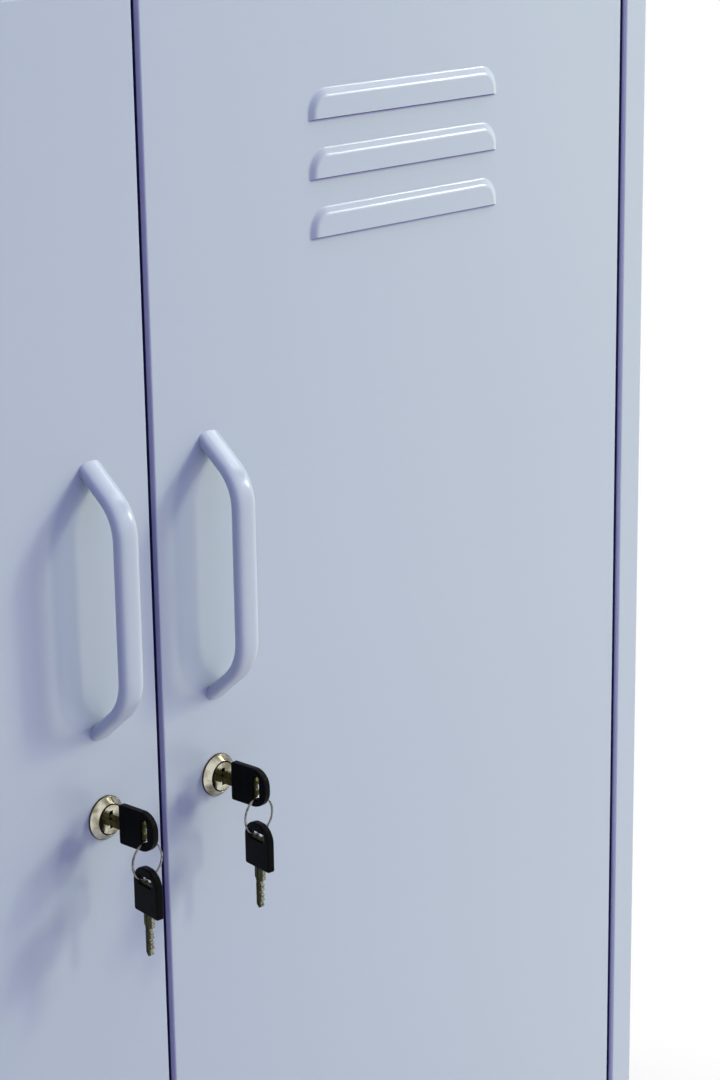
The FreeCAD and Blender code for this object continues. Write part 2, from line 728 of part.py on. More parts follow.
def pivot_pin():
    """Steel pin welded upright to the rail, on which the door turns."""
    body = new_body("pivot_pin_pattern")
    shank = sketch_on(body, "pin_shank", "XY_Plane")
    circle(shank, "0", "0", "dims.pin_radius")
    pad(shank, "dims.end_gap + dims.pin_reach")
    return body


def pivot_bush():
    """Nylon block inside the door's edge; its neck comes out through the edge and bears on the rail."""
    body = new_body("pivot_bush_pattern")
    neck = sketch_on(body, "bush_neck", "XY_Plane", "dims.running_clearance")
    polygon(neck, "0", "0", "dims.bush_neck", 4)
    pad(neck, f"dims.end_gap + {GAUGE} - dims.running_clearance")
    block = sketch_on(body, "bush_block", "XY_Plane", f"dims.end_gap + {GAUGE}")
    polygon(block, "0", "0", "dims.bush_block", 4)
    pad(block, "dims.bush_length")
    bore = sketch_on(body, "bush_bore", "XY_Plane")
    circle(bore, "0", "0", "dims.pin_radius + dims.running_clearance")
    pocket(bore, "4 * dims.bush_length", both=True)
    return body


# ---------------------------------------------------------------- handles

def oval(sketch, width, thickness, sides):
    """An elliptical outline of flats about the sketch's origin, as wide and thick as given."""
    corners = []
    reach = math.cos(math.pi / sides)
    for number in range(sides):
        angle = 2 * math.pi * (number + 0.5) / sides
        corners.append((f"{round(math.cos(angle) / reach, 9)} * {width} / 2",
                        f"{round(math.sin(angle) / reach, 9)} * {thickness} / 2"))
    outline(sketch, corners)


def handle(side):
    """Bar bent out from the door, along it and back, its sloping legs cut flush; twelve flats stand
    for its oval section."""
    sign = SIDES[side]
    body = new_body(f"handle_{side}")
    reach = size("dims.handle_reach")
    rise = size("dims.handle_rise")
    half = size("dims.handle_span") / 2
    bend = size("dims.handle_bend")
    turn_angle = math.atan2(reach, rise)
    tangent = bend * math.tan(turn_angle / 2)
    along = FreeCAD.Vector(reach, rise, 0).normalize()
    vector = FreeCAD.Vector
    corner = vector(-reach, half - rise, 0)
    leg_start = vector(0, half, 0) + along * size("dims.handle_thickness")
    bend_start = corner + along * tangent
    bend_end = corner + vector(0, -tangent, 0)
    centre = bend_end + vector(bend, 0, 0)
    bend_middle = centre + (corner - centre).normalize() * bend

    def mirrored(point):
        return vector(point.x, -point.y, 0)

    path = sketch_on(body, f"handle_path_{side}", "YZ_Plane")
    path.addGeometry([
        Part.LineSegment(leg_start, bend_start),
        Part.Arc(bend_start, bend_middle, bend_end),
        Part.LineSegment(bend_end, mirrored(bend_end)),
        Part.Arc(mirrored(bend_end), mirrored(bend_middle), mirrored(bend_start)),
        Part.LineSegment(mirrored(bend_start), mirrored(leg_start)),
    ], False)
    for step in range(4):
        path.addConstraint(Sketcher.Constraint("Tangent", step, 2, step + 1, 1))
    for arc in (1, 3):
        radius_index = path.addConstraint(Sketcher.Constraint("Radius", arc, bend))
        path.setExpression(f"Constraints[{radius_index}]", "dims.handle_bend")
    path.addConstraint(Sketcher.Constraint("Vertical", 2))
    bind(path, "DistanceX", 2, 1, "-dims.handle_reach")
    for leg, point, sign_z in ((0, 1, 1), (4, 2, -1)):
        foot = path.addGeometry(Part.Point(vector(0, sign_z * half, 0)), True)
        bind(path, "DistanceX", foot, 1, "0")
        bind(path, "DistanceY", foot, 1, f"{sign_z} * dims.handle_span / 2")
        path.addConstraint(Sketcher.Constraint("PointOnObject", foot, 1, leg))
        bind(path, "DistanceX", leg, point, "dims.handle_thickness")
        bind(path, "DistanceY", leg, point,
             f"{sign_z} * (dims.handle_span / 2 + dims.handle_thickness * dims.handle_rise / dims.handle_reach)")
    bar = body.newObject("Sketcher::SketchObject", f"handle_bar_{side}")
    bar.AttachmentSupport = [(path, "Edge1")]
    bar.MapMode = "NormalToEdge"
    oval(bar, "dims.handle_width", "dims.handle_thickness", 12)
    pipe = body.newObject("PartDesign::AdditivePipe", f"handle_pipe_{side}")
    pipe.Profile = bar
    pipe.Spine = (path, [f"Edge{number}" for number in range(1, 6)])
    doc.recompute()

    trim = sketch_on(body, f"handle_trim_{side}", "XZ_Plane")
    rectangle(trim, "-dims.handle_span", "-dims.handle_span", "dims.handle_span", "dims.handle_span")
    pocket(trim, "dims.handle_span")
    taps = sketch_on(body, f"handle_taps_{side}", "XZ_Plane")
    for sign_z in (-1, 1):
        polygon(taps, "0", f"{sign_z} * (dims.handle_span / 2 - dims.handle_screw_shift)",
                "dims.handle_screw + 0.1", 6)
    pocket(taps, "dims.handle_screw_grip", back=True)
    place_on_carcass(body, x=f"{sign} * dims.handle_x",
                     z=f"{DOOR_TOP} - dims.handle_top_drop - dims.handle_span / 2")
    return body


def screw(name, shank_width, shank_sides, shank_length):
    """Small screw along Y: hexagon head behind Y = 0, shank towards -Y. It repeats, so it stays plain."""
    body = new_body(name)
    head = sketch_on(body, f"{name}_head", "XZ_Plane")
    polygon(head, "0", "0", "dims.screw_head", 6)
    pad(head, "dims.screw_head_height", back=True)
    shank = sketch_on(body, f"{name}_shank", "XZ_Plane")
    polygon(shank, "0", "0", shank_width, shank_sides)
    pad(shank, shank_length)
    return body


# ---------------------------------------------------------------- cam locks

def place_at_lock(body, side):
    place_on_carcass(body, x=f"{SIDES[side]} * dims.lock_x", z=LOCK_Z)


def lock_housing(side):
    """Cone-shaped rosette on an eight-sided barrel, bored for the plug."""
    body = new_body(f"lock_housing_{side}")
    bore = "(dims.plug_radius + dims.running_clearance)"
    profile = sketch_on(body, f"rosette_profile_{side}", "YZ_Plane")
    outline(profile, [
        ("0", "0"), ("0", "dims.rosette_radius"),
        ("-dims.rosette_height", "dims.rosette_radius - dims.rosette_slope"), ("-dims.rosette_height", "0"),
    ])
    turn(profile, "H_Axis")
    barrel = sketch_on(body, f"barrel_{side}", "XZ_Plane")
    polygon(barrel, "0", "0", "dims.barrel_width", 8)
    pad(barrel, "dims.barrel_length", back=True)
    hole = sketch_on(body, f"plug_bore_{side}", "XZ_Plane")
    circle(hole, "0", "0", bore)
    pocket(hole, "4 * dims.barrel_length", both=True)
    place_at_lock(body, side)
    return body


def lock_plug(side):
    """Turning plug: keyway in front, square seat and tapped hole for the cam behind."""
    body = new_body(f"lock_plug_{side}")
    face = "(dims.rosette_height + dims.plug_proud)"
    front = sketch_on(body, f"plug_front_{side}", "XZ_Plane", face)
    circle(front, "0", "0", "dims.plug_radius")
    pad(front, f"dims.cam_y + {face}", back=True)
    seat = sketch_on(body, f"cam_seat_{side}", "XZ_Plane", "-dims.cam_y")
    polygon(seat, "0", "0", "dims.cam_seat", 4)
    pad(seat, "dims.cam_gauge", back=True)
    keyway = sketch_on(body, f"keyway_{side}", "XZ_Plane", face)
    rectangle(keyway, "-dims.keyway_width / 2", "-dims.keyway_height / 2",
              "dims.keyway_width / 2", "dims.keyway_height / 2")
    pocket(keyway, "dims.keyway_depth")
    tap = sketch_on(body, f"cam_tap_{side}", "XZ_Plane", "-(dims.cam_y + dims.cam_gauge)")
    polygon(tap, "0", "0", "dims.cam_screw + 0.1", 6)
    pocket(tap, "dims.cam_screw_grip", back=True)
    place_at_lock(body, side)
    return body


def lock_cam(side):
    """Flat arm on the plug's square seat; upright when open, behind the strike when locked."""
    body = new_body(f"lock_cam_{side}")
    width = "dims.cam_width / 2"
    arm = sketch_on(body, f"cam_arm_{side}", "XZ_Plane", "-dims.cam_y")
    rectangle(arm, f"-{width}", f"-{width}", width, "dims.cam_length")
    blank = pad(arm, "dims.cam_gauge", back=True)
    corners = edges_where(blank, lambda e: runs_along(e, 1))
    bevel(blank, corners, "dims.cam_width / 5")
    seat = sketch_on(body, f"cam_hole_{side}", "XZ_Plane", "-dims.cam_y")
    polygon(seat, "0", "0", "dims.cam_seat", 4)
    pocket(seat, "dims.cam_gauge")
    place_at_lock(body, side)
    return body


def cam_screw(side):
    body = screw(f"cam_screw_{side}", "dims.cam_screw", 6, "dims.cam_screw_grip - 1")
    place(body, f"{SIDES[side]} * dims.lock_x", "dims.front_y + dims.cam_y + dims.cam_gauge",
          f"dims.leg_height + {LOCK_Z}")
    return body


def lock_clip(side):
    """Horseshoe clip pushed down over the barrel, behind the door's skin."""
    body = new_body(f"lock_clip_{side}")
    outer = "dims.clip_plate_width / 2"
    inner = "(dims.barrel_width / 2 + 0.1)"
    crown = inner
    face = sketch_on(body, f"clip_face_{side}", "XZ_Plane", f"-{GAUGE}")
    outline(face, [
        (f"-{outer}", f"-{outer}"), (f"-{inner}", f"-{outer}"), (f"-{inner}", crown), (inner, crown),
        (inner, f"-{outer}"), (outer, f"-{outer}"), (outer, outer), (f"-{outer}", outer),
    ])
    pad(face, "dims.clip_plate_gauge", back=True)
    place_at_lock(body, side)
    return body


# ---------------------------------------------------------------- keys

KEY_OUTER = "(-dims.key_head_start - dims.key_head_length)"
KEY_SLOT_MIDDLE = "(-dims.key_head_start - dims.key_head_length + dims.key_head_bridge + dims.key_slot_width / 2)"
RING_TOP = "(-dims.key_slot_length / 2 + dims.ring_slack)"
KEY_CUTS = (1.1, 0.5, 1.4, 0.8, 1.2)


def place_key(body, side, spare):
    """The first key lies in its lock; the spare hangs head up from the bottom of the ring."""
    if not spare:
        place_at_lock(body, side)
        return
    flat = FreeCAD.Rotation(FreeCAD.Vector(1, 0, 0), -90)
    twist = FreeCAD.Rotation(FreeCAD.Vector(0, 0, 1), size("dims.spare_twist"))
    body.Placement = FreeCAD.Placement(FreeCAD.Vector(0, 0, 0), twist.multiply(flat))
    hook = f"({KEY_OUTER} + dims.key_head_bridge + dims.ring_slack)"
    place(body, f"{SIDES[side]} * dims.lock_x", f"dims.front_y + {KEY_SLOT_MIDDLE}",
          f"dims.leg_height + {LOCK_Z} + {RING_TOP} - 2 * dims.ring_radius + {hook}")


def key_blade(side, spare=False):
    """Stamped blade along Y: bow in the head, shoulder, and a cut and grooved bit."""
    name = f"{'spare' if spare else 'key'}_blade_{side}"
    body = new_body(name)
    shoulder = "dims.key_shoulder_width / 2"
    edge = "dims.key_blade_width / 2"
    bow = "(-dims.key_head_start - dims.key_bow_length)"
    stop = "(-dims.key_head_start + dims.key_shoulder_length)"
    tip = f"({stop} + dims.key_blade_length)"
    corners = [(bow, shoulder), (bow, f"-{shoulder}"), (stop, f"-{shoulder}"), (stop, f"-{edge}")]
    pitch = "dims.key_blade_length / 6"
    for number, depth in enumerate(KEY_CUTS):
        start = f"{stop} + ({number} + 0.55) * {pitch}"
        corners += [(f"{start} - 0.25 * {pitch}", f"-{edge} + 0.1"), (start, f"-{edge} + {depth}"),
                    (f"{start} + 0.3 * {pitch}", f"-{edge} + {depth}")]
    corners += [(f"{tip} - 0.5", f"-{edge} + 1.4"), (tip, "0"), (f"{tip} - 1.6", edge), (stop, edge),
                (stop, shoulder)]
    blank = sketch_on(body, f"{name}_blank", "YZ_Plane")
    outline(blank, corners)
    pad(blank, "dims.key_blade_gauge", both=True)
    for sign, level in ((1, "dims.key_blade_gauge / 2"), (-1, "-dims.key_blade_gauge / 2")):
        groove = sketch_on(body, f"{name}_groove_{'far' if sign > 0 else 'near'}", "YZ_Plane", level)
        rectangle(groove, f"{stop} - dims.key_shoulder_length", "0.3", f"{tip} - 2", "1.5")
        pocket(groove, "0.45", back=(sign < 0))
    place_key(body, side, spare)
    return body


def key_head(side, spare=False):
    """Flat plastic head, round at its outer end, with an oblong hole across it for the ring."""
    name = f"{'spare' if spare else 'key'}_head_{side}"
    body = new_body(name)
    half = "dims.key_head_width / 2"
    face = sketch_on(body, f"{name}_face", "YZ_Plane")
    rectangle(face, KEY_OUTER, f"-{half}", "-dims.key_head_start", half)
    block = pad(face, "dims.key_head_gauge", both=True)
    outer_edges = edges_where(block, lambda e: runs_along(e, 0) and near(e.CenterOfMass.y, KEY_OUTER))
    rounded = soften(block, outer_edges, "dims.key_head_corner")
    inner_edges = edges_where(rounded, lambda e: runs_along(e, 0) and near(e.CenterOfMass.y, "-dims.key_head_start"))
    bevel(rounded, inner_edges, "1.2")
    slot = sketch_on(body, f"{name}_slot", "YZ_Plane")
    across, along, cut = "dims.key_slot_width / 2", "dims.key_slot_length / 2", "dims.key_slot_width / 3"
    corners = []
    for sign_y, sign_z in ((-1, -1), (1, -1), (1, 1), (-1, 1)):
        side_point = (f"{KEY_SLOT_MIDDLE} + {sign_y} * {across}", f"{sign_z} * ({along} - {cut})")
        end_point = (f"{KEY_SLOT_MIDDLE} + {sign_y} * ({across} - {cut})", f"{sign_z} * {along}")
        corners += [side_point, end_point] if sign_y == sign_z else [end_point, side_point]
    outline(slot, corners)
    pocket(slot, "2 * dims.key_head_gauge", both=True)
    bow = sketch_on(body, f"{name}_bow", "XZ_Plane", "dims.key_head_start")
    rectangle(bow, "-dims.key_blade_gauge / 2", "-dims.key_shoulder_width / 2",
              "dims.key_blade_gauge / 2", "dims.key_shoulder_width / 2")
    pocket(bow, "dims.key_bow_length", back=True)
    place_key(body, side, spare)
    return body


def key_ring(side):
    """Ring of flat wire, hanging upright from the slot of the key in the lock."""
    body = new_body(f"key_ring_{side}")
    loop = sketch_on(body, f"ring_loop_{side}", "XZ_Plane")
    polygon(loop, "0", "0", "2 * (dims.ring_radius + dims.ring_wire)", 24)
    polygon(loop, "0", "0", "2 * (dims.ring_radius - dims.ring_wire)", 24)
    pad(loop, "2 * dims.ring_wire", both=True)
    place(body, f"{SIDES[side]} * dims.lock_x", f"dims.front_y + {KEY_SLOT_MIDDLE}",
          f"dims.leg_height + {LOCK_Z} + {RING_TOP} - dims.ring_radius")
    return body


# ---------------------------------------------------------------- shelves

def shelf(side):
    """Shallow pan turned upside down, its front and rear skirts returned underneath."""
    sign = SIDES[side]
    body = new_body(f"shelf_{side}")
    inner = f"{sign} * ({GAUGE} / 2 + dims.shelf_side_gap)"
    outer = f"{sign} * ({STILE} - dims.shelf_side_gap)"
    front = "dims.shelf_front"
    rear = "(dims.shelf_front + dims.shelf_depth)"
    level = "dims.shelf_level"
    plan = sketch_on(body, f"shelf_plan_{side}", "XY_Plane", level)
    rectangle(plan, inner, front, outer, rear)
    block = pad(plan, "dims.shelf_thickness")
    edges = edges_where(block, lambda e: runs_along(e, 0) and near(e.CenterOfMass.z, f"{level} + dims.shelf_thickness"))
    soften(block, edges, "dims.fold_radius / 2")
    hollow = sketch_on(body, f"shelf_hollow_{side}", "XY_Plane", f"{level} + dims.shelf_thickness - {GAUGE}")
    rectangle(hollow, f"{inner} + {sign} * {GAUGE}", f"{front} + {GAUGE}",
              f"{outer} - {sign} * {GAUGE}", f"{rear} - {GAUGE}")
    pocket(hollow, f"dims.shelf_thickness - 2 * {GAUGE}")
    opening = sketch_on(body, f"shelf_opening_{side}", "XY_Plane", f"{level} + {GAUGE} * 1.5")
    rectangle(opening, f"{inner} + {sign} * {GAUGE}", f"{front} + dims.shelf_return",
              f"{outer} - {sign} * {GAUGE}", f"{rear} - dims.shelf_return")
    pocket(opening, f"{GAUGE} * 2")
    place_on_carcass(body)
    return body


def clip_pattern():
    """Bent clip: a ledge for the shelf, a back plate, and a tongue hooked down behind the wall."""
    body = new_body("clip_pattern")
    ledge, gauge = "dims.clip_ledge", "dims.clip_gauge"
    side_view = sketch_on(body, "clip_side", "XZ_Plane")
    outline(side_view, [
        ("0", "0"), (ledge, "0"), (ledge, f"-{gauge}"), (gauge, f"-{gauge}"), (gauge, "-14"), ("0", "-14"),
        ("0", "-9"), (f"-{GAUGE}", "-9"), (f"-{GAUGE}", "-13"), (f"-{GAUGE} - 1.2", "-13"),
        (f"-{GAUGE} - 1.2", "-5"), ("0", "-5"),
    ])
    pad(side_view, "dims.clip_width", both=True)
    return body


def shelf_clips():
    """Four clips under each shelf; on the partition the left shelf's clips use slots of their own."""
    stile = size(STILE)
    wall = size(GAUGE) / 2
    front, rear, shift = size("dims.slot_front"), size("dims.slot_rear"), size("dims.slot_shift")
    level = size("dims.shelf_level")
    upright = (0, 0, 1)
    places = []
    for y in (front, rear):
        places.append(at(stile, y, level, upright, 180))
        places.append(at(wall, y, level))
        places.append(at(-stile, y, level))
    for y in (front + shift, rear - shift):
        places.append(at(-wall, y, level, upright, 180))
    clips = group("shelf_clips", clip_pattern(), places)
    place_on_carcass(clips)
    return clips


# ---------------------------------------------------------------- legs

def leg(label, sign_x, sign_y, x, y):
    """Square tube welded to a plate with three bolt holes."""
    body = new_body(label)
    half = "dims.leg_tube / 2"
    bore = "(dims.leg_tube / 2 - dims.leg_wall)"
    wall = sketch_on(body, f"{label}_wall", "XY_Plane", "dims.glide_height")
    rectangle(wall, f"-{half}", f"-{half}", half, half)
    blank = pad(wall, "dims.leg_height - dims.leg_plate_gauge - dims.glide_height")
    bevel(blank, edges_where(blank, lambda e: runs_along(e, 2)), "dims.leg_wall / 2")
    hollow = sketch_on(body, f"{label}_hollow", "XY_Plane", "dims.glide_height")
    rectangle(hollow, f"-{bore}", f"-{bore}", bore, bore)
    pocket(hollow, "dims.leg_height - dims.leg_plate_gauge - dims.glide_height", back=True)
    plate = sketch_on(body, f"{label}_plate", "XY_Plane", "dims.leg_height - dims.leg_plate_gauge")
    reach = "dims.leg_plate / 2"
    rectangle(plate, f"-{reach}", f"-{reach}", reach, reach)
    for towards_x, towards_y in ((1, 1), (1, -1), (-1, 1)):
        polygon(plate, f"{sign_x * towards_x} * dims.leg_hole_offset",
                f"{sign_y * towards_y} * dims.leg_hole_offset", "dims.leg_bolt + 0.2", 4)
    pad(plate, "dims.leg_plate_gauge")
    place(body, x, f"dims.front_y + {y}")
    return body


def glide(label, x, y):
    """Plastic foot with a spigot pushed up into the tube."""
    body = new_body(label)
    half = "dims.leg_tube / 2"
    spigot = "(dims.leg_tube / 2 - dims.leg_wall)"
    cap = sketch_on(body, f"{label}_cap", "XY_Plane")
    rectangle(cap, f"-{half}", f"-{half}", half, half)
    block = pad(cap, "dims.glide_height")
    bevel(block, edges_where(block, lambda e: near(e.CenterOfMass.z, "0")), "1.2")
    plug = sketch_on(body, f"{label}_spigot", "XY_Plane", "dims.glide_height")
    rectangle(plug, f"-{spigot}", f"-{spigot}", spigot, spigot)
    pad(plug, "dims.glide_spigot")
    place(body, x, f"dims.front_y + {y}")
    return body


def leg_fixings():
    """A square-necked bolt from below and a nut above the tray's flange, three to a leg."""
    bolt = new_body("leg_bolt_pattern")
    underside = "dims.leg_height - dims.leg_plate_gauge"
    head = sketch_on(bolt, "leg_bolt_head", "XY_Plane", underside)
    polygon(head, "0", "0", "dims.leg_bolt_head", 6)
    pad(head, "3", back=True)
    neck = sketch_on(bolt, "leg_bolt_neck", "XY_Plane", underside)
    polygon(neck, "0", "0", "dims.leg_bolt", 4)
    pad(neck, "12")
    nut = new_body("leg_nut_pattern")
    face = sketch_on(nut, "leg_nut_face", "XY_Plane", f"dims.leg_height + {GAUGE}")
    polygon(face, "0", "0", "dims.leg_nut", 6)
    polygon(face, "0", "0", "dims.leg_bolt", 4)
    pad(face, "5")
    places = [at(size(x), size(y), 0) for x, y in leg_bolts()]
    fixings = []
    for label, piece in (("leg_bolts", bolt), ("leg_nuts", nut)):
        node = group(label, piece, places)
        place(node, "0", "dims.front_y")
        fixings.append(node)
    return fixings


# ---------------------------------------------------------------- assembly

nodes = []
for side in SIDES:
    panel = side_panel(side)
    back_screw_holes(panel, f"screw_holes_{side}",
                     lambda x, z, sign=SIDES[side]: sign * x > size(STILE))
    nodes.append(panel)
top = top_panel()
back_screw_holes(top, "screw_holes_top",
                 lambda x, z: abs(x) < size(STILE) and z > size("dims.carcass_height / 2"))
bottom = bottom_panel()
back_screw_holes(bottom, "screw_holes_bottom",
                 lambda x, z: abs(x) < size(STILE) and z < size("dims.carcass_height / 2"))
nodes += [top, bottom, back_panel(), centre_partition()]

back_screw = screw("back_screw_pattern", "dims.back_screw", 4, "7")
back_screw_places = [at(size(x), size("dims.carcass_depth"), size(z)) for x, z in back_screws()]
screws = group("back_screws", back_screw, back_screw_places)
place_on_carcass(screws)
nodes.append(screws)

buffer_places = [at(sign * size("dims.buffer_x"), 0, size(LOCK_Z) + end * size("dims.buffer_spread") / 2)
                 for sign in SIDES.values() for end in (-1, 1)]
buffers = group("door_buffers", buffer_pad(), buffer_places)
place_on_carcass(buffers)
nodes.append(buffers)

for sign_x, sign_y, x, y in leg_centres():
    corner = f"{'front' if sign_y < 0 else 'rear'}_{'left' if sign_x < 0 else 'right'}"
    nodes.append(leg(f"leg_{corner}", sign_x, sign_y, x, y))
    nodes.append(glide(f"glide_{corner}", x, y))
nodes += leg_fixings()
nodes.append(shelf_clips())

pins = group("pivot_pins", pivot_pin(), pivots("left") + pivots("right"))
place_on_carcass(pins)
nodes.append(pins)
bush = pivot_bush()

handle_screw = screw("handle_screw_pattern", "dims.handle_screw", 6, f"dims.handle_screw_grip + {GAUGE} - 0.3")
for side, sign in SIDES.items():
    nodes.append(shelf(side))
    bushes = group(f"pivot_bushes_{side}", bush, pivots(side))
    place_on_carcass(bushes)
    nodes.append(bushes)
    nodes += [door(side), door_stiffener(side), handle(side)]
    top_foot = size(f"{DOOR_TOP} - dims.handle_top_drop")
    feet = [at(sign * size("dims.handle_x"), size(GAUGE), top_foot - size(drop)) for drop in HANDLE_SCREW_DROPS]
    fixings = group(f"handle_screws_{side}", handle_screw, feet)
    place_on_carcass(fixings)
    nodes.append(fixings)
    nodes += [lock_housing(side), lock_clip(side), lock_plug(side), lock_cam(side), cam_screw(side)]
    nodes += [key_blade(side), key_head(side), key_ring(side)]
    nodes += [key_blade(side, spare=True), key_head(side, spare=True)]

doc.recompute()
for obj in doc.Objects:
    if "Invalid" in obj.State or "Error" in obj.State:
        raise RuntimeError(f"{obj.Label} did not compute: {obj.State}")
for node in nodes:
    if node.Shape.isNull() or not node.Shape.isValid():
        raise RuntimeError(f"{node.Label} has no valid shape")

os.makedirs("parts", exist_ok=True)
for node in nodes:
    node.Shape.exportStep(f"parts/{node.Label}.step")
print(f"{len(nodes)} parts written")
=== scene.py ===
import math

import bmesh
import bpy
from mathutils import Matrix, Vector


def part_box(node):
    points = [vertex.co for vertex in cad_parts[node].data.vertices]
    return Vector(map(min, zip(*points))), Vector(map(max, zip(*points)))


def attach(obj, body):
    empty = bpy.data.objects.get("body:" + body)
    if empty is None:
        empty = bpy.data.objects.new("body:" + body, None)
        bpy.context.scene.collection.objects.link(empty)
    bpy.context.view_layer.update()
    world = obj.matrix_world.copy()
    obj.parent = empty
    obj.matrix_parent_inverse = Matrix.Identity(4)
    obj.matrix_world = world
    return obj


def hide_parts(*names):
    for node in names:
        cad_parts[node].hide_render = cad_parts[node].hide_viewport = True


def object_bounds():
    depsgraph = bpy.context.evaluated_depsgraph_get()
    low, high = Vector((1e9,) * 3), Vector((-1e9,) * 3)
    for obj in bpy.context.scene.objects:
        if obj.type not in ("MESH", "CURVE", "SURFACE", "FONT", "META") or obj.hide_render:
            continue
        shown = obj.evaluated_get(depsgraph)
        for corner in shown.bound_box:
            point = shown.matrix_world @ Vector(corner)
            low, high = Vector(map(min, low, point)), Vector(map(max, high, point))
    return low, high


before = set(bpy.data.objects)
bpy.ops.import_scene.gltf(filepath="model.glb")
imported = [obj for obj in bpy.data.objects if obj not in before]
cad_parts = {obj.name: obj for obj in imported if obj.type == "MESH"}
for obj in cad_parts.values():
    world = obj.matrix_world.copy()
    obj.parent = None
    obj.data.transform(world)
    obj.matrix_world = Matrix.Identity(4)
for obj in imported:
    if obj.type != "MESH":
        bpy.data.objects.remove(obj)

cad_low, cad_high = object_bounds()
SIDES = {"left": -1, "right": 1}

# ---------------------------------------------------------------- camera
# The camera looks at the upper part of the right door from the left, slightly from above, with a
# long lens. Its place is set from the cabinet's middle, the door's face and the door's top edge.

LOUVRE_REACH = 0.0022
door_low, door_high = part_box("door_right")
face_y = door_low.y + LOUVRE_REACH

CAMERA_AZIMUTH = math.radians(-47.492)
CAMERA_ELEVATION = math.radians(15.863)
CAMERA_ROLL = math.radians(-0.791)
CAMERA_LEFT = 0.8673
CAMERA_OUT = 0.9324
CAMERA_RISE = 0.0929


def pointing(azimuth, elevation):
    """A unit vector. Azimuth 0 points straight out of the doors and grows to the right."""
    return Vector((
        math.sin(azimuth) * math.cos(elevation),
        -math.cos(azimuth) * math.cos(elevation),
        math.sin(elevation),
    ))


back = pointing(CAMERA_AZIMUTH, CAMERA_ELEVATION)
level_right = (-back).cross(Vector((0, 0, 1))).normalized()
level_up = level_right.cross(-back)
right = math.cos(CAMERA_ROLL) * level_right + math.sin(CAMERA_ROLL) * level_up
up = math.cos(CAMERA_ROLL) * level_up - math.sin(CAMERA_ROLL) * level_right

camera_data = bpy.data.cameras.new("camera")
camera_data.lens = 89.48
camera_data.sensor_width = 36
camera_data.clip_end = 60
camera = bpy.data.objects.new("camera", camera_data)
place = Vector((-CAMERA_LEFT, face_y - CAMERA_OUT, door_high.z + CAMERA_RISE))
camera.matrix_world = Matrix((
    (right.x, up.x, back.x, place.x),
    (right.y, up.y, back.y, place.y),
    (right.z, up.z, back.z, place.z),
    (0, 0, 0, 1),
))
bpy.context.scene.collection.objects.link(camera)
bpy.context.scene.camera = camera
bpy.context.scene.view_settings.view_transform = "Standard"

# ---------------------------------------------------------------- studio
# A wide pale floor, four soft lamps close together in front on the right, a wide one higher up and
# a violet room light all round, as in a product studio. Further out, floor and room turn white.

WHITE = (1, 1, 1, 1)
FLOOR_COLOUR = (0.57, 0.56, 0.56, 1)
FLOOR_RADIUS = 9
FLOOR_FADE = (0.55, 0.95)
ROOM_LEFT = (0.05, 0.035, 0.30, 1)
ROOM_RIGHT = (0.48, 0.50, 0.78, 1)
ROOM_TOP = (1.0, 1.0, 1.38, 1)
ROOM_SIDEWAYS = (-0.6, 0.6)
ROOM_UPWARDS = (0.35, 1)
LAMP_AIM_X = 0.1
LAMP_AIM_HEIGHT = 0.7
LAMP_DISTANCE = 3.2
# width and height, azimuth and elevation in degrees, power, colour, shows in reflections
LAMPS = (
    ((0.32, 0.55), 38, 8, 20, (1.0, 0.95, 0.52), False),
    ((0.36, 0.55), 60, 8, 15, (0.97, 1.0, 0.52), False),
    ((0.36, 0.50), 60, 25, 42, (1.0, 1.0, 0.50), False),
    ((0.55, 0.55), 55, 19, 21, (1.0, 1.0, 0.90), True),
    ((1.20, 0.80), 76, 43, 16, (1.0, 1.0, 1.0), True),
)


def reckoned(nodes, links, operation, *values, clamp=False):
    """A math node's result. Each value is a number or another node's output."""
    node = nodes.new("ShaderNodeMath")
    node.operation = operation
    node.use_clamp = clamp
    for socket, value in zip(node.inputs, values):
        if isinstance(value, (int, float)):
            socket.default_value = value
        else:
            links.new(value, socket)
    return node.outputs[0]


def between(nodes, links, value, low, high, start, end, kind="LINEAR"):
    """Turns a value's way from start to end into a level between two others."""
    level = nodes.new("ShaderNodeMapRange")
    level.interpolation_type = kind
    for name, number in (("From Min", start), ("From Max", end), ("To Min", low), ("To Max", high)):
        level.inputs[name].default_value = number
    links.new(value, level.inputs["Value"])
    return level.outputs["Result"]


def blended(nodes, links, factor, first, second):
    """One of two colours by a factor. Each is a colour or another node's output."""
    mix = nodes.new("ShaderNodeMix")
    mix.data_type = "RGBA"
    links.new(factor, mix.inputs[0])
    for slot, value in ((6, first), (7, second)):
        if isinstance(value, tuple):
            mix.inputs[slot].default_value = value
        else:
            links.new(value, mix.inputs[slot])
    return mix.outputs[2]


def seen_directly(nodes, links):
    """1 where a ray from the camera, a mirror or glass arrives, 0 for the light on surfaces."""
    path = nodes.new("ShaderNodeLightPath").outputs
    total = reckoned(nodes, links, "MAXIMUM", path["Is Camera Ray"], path["Is Glossy Ray"])
    return reckoned(nodes, links, "MAXIMUM", total, path["Is Transmission Ray"])


def whitened(nodes, links, factor, shader, white, output):
    """Ends a material or the room with a shader that gives way to plain white by a factor."""
    white.inputs["Color"].default_value = WHITE
    mixed = nodes.new("ShaderNodeMixShader")
    links.new(factor, mixed.inputs[0])
    links.new(shader.outputs[0], mixed.inputs[1])
    links.new(white.outputs[0], mixed.inputs[2])
    links.new(mixed.outputs[0], output.inputs["Surface"])


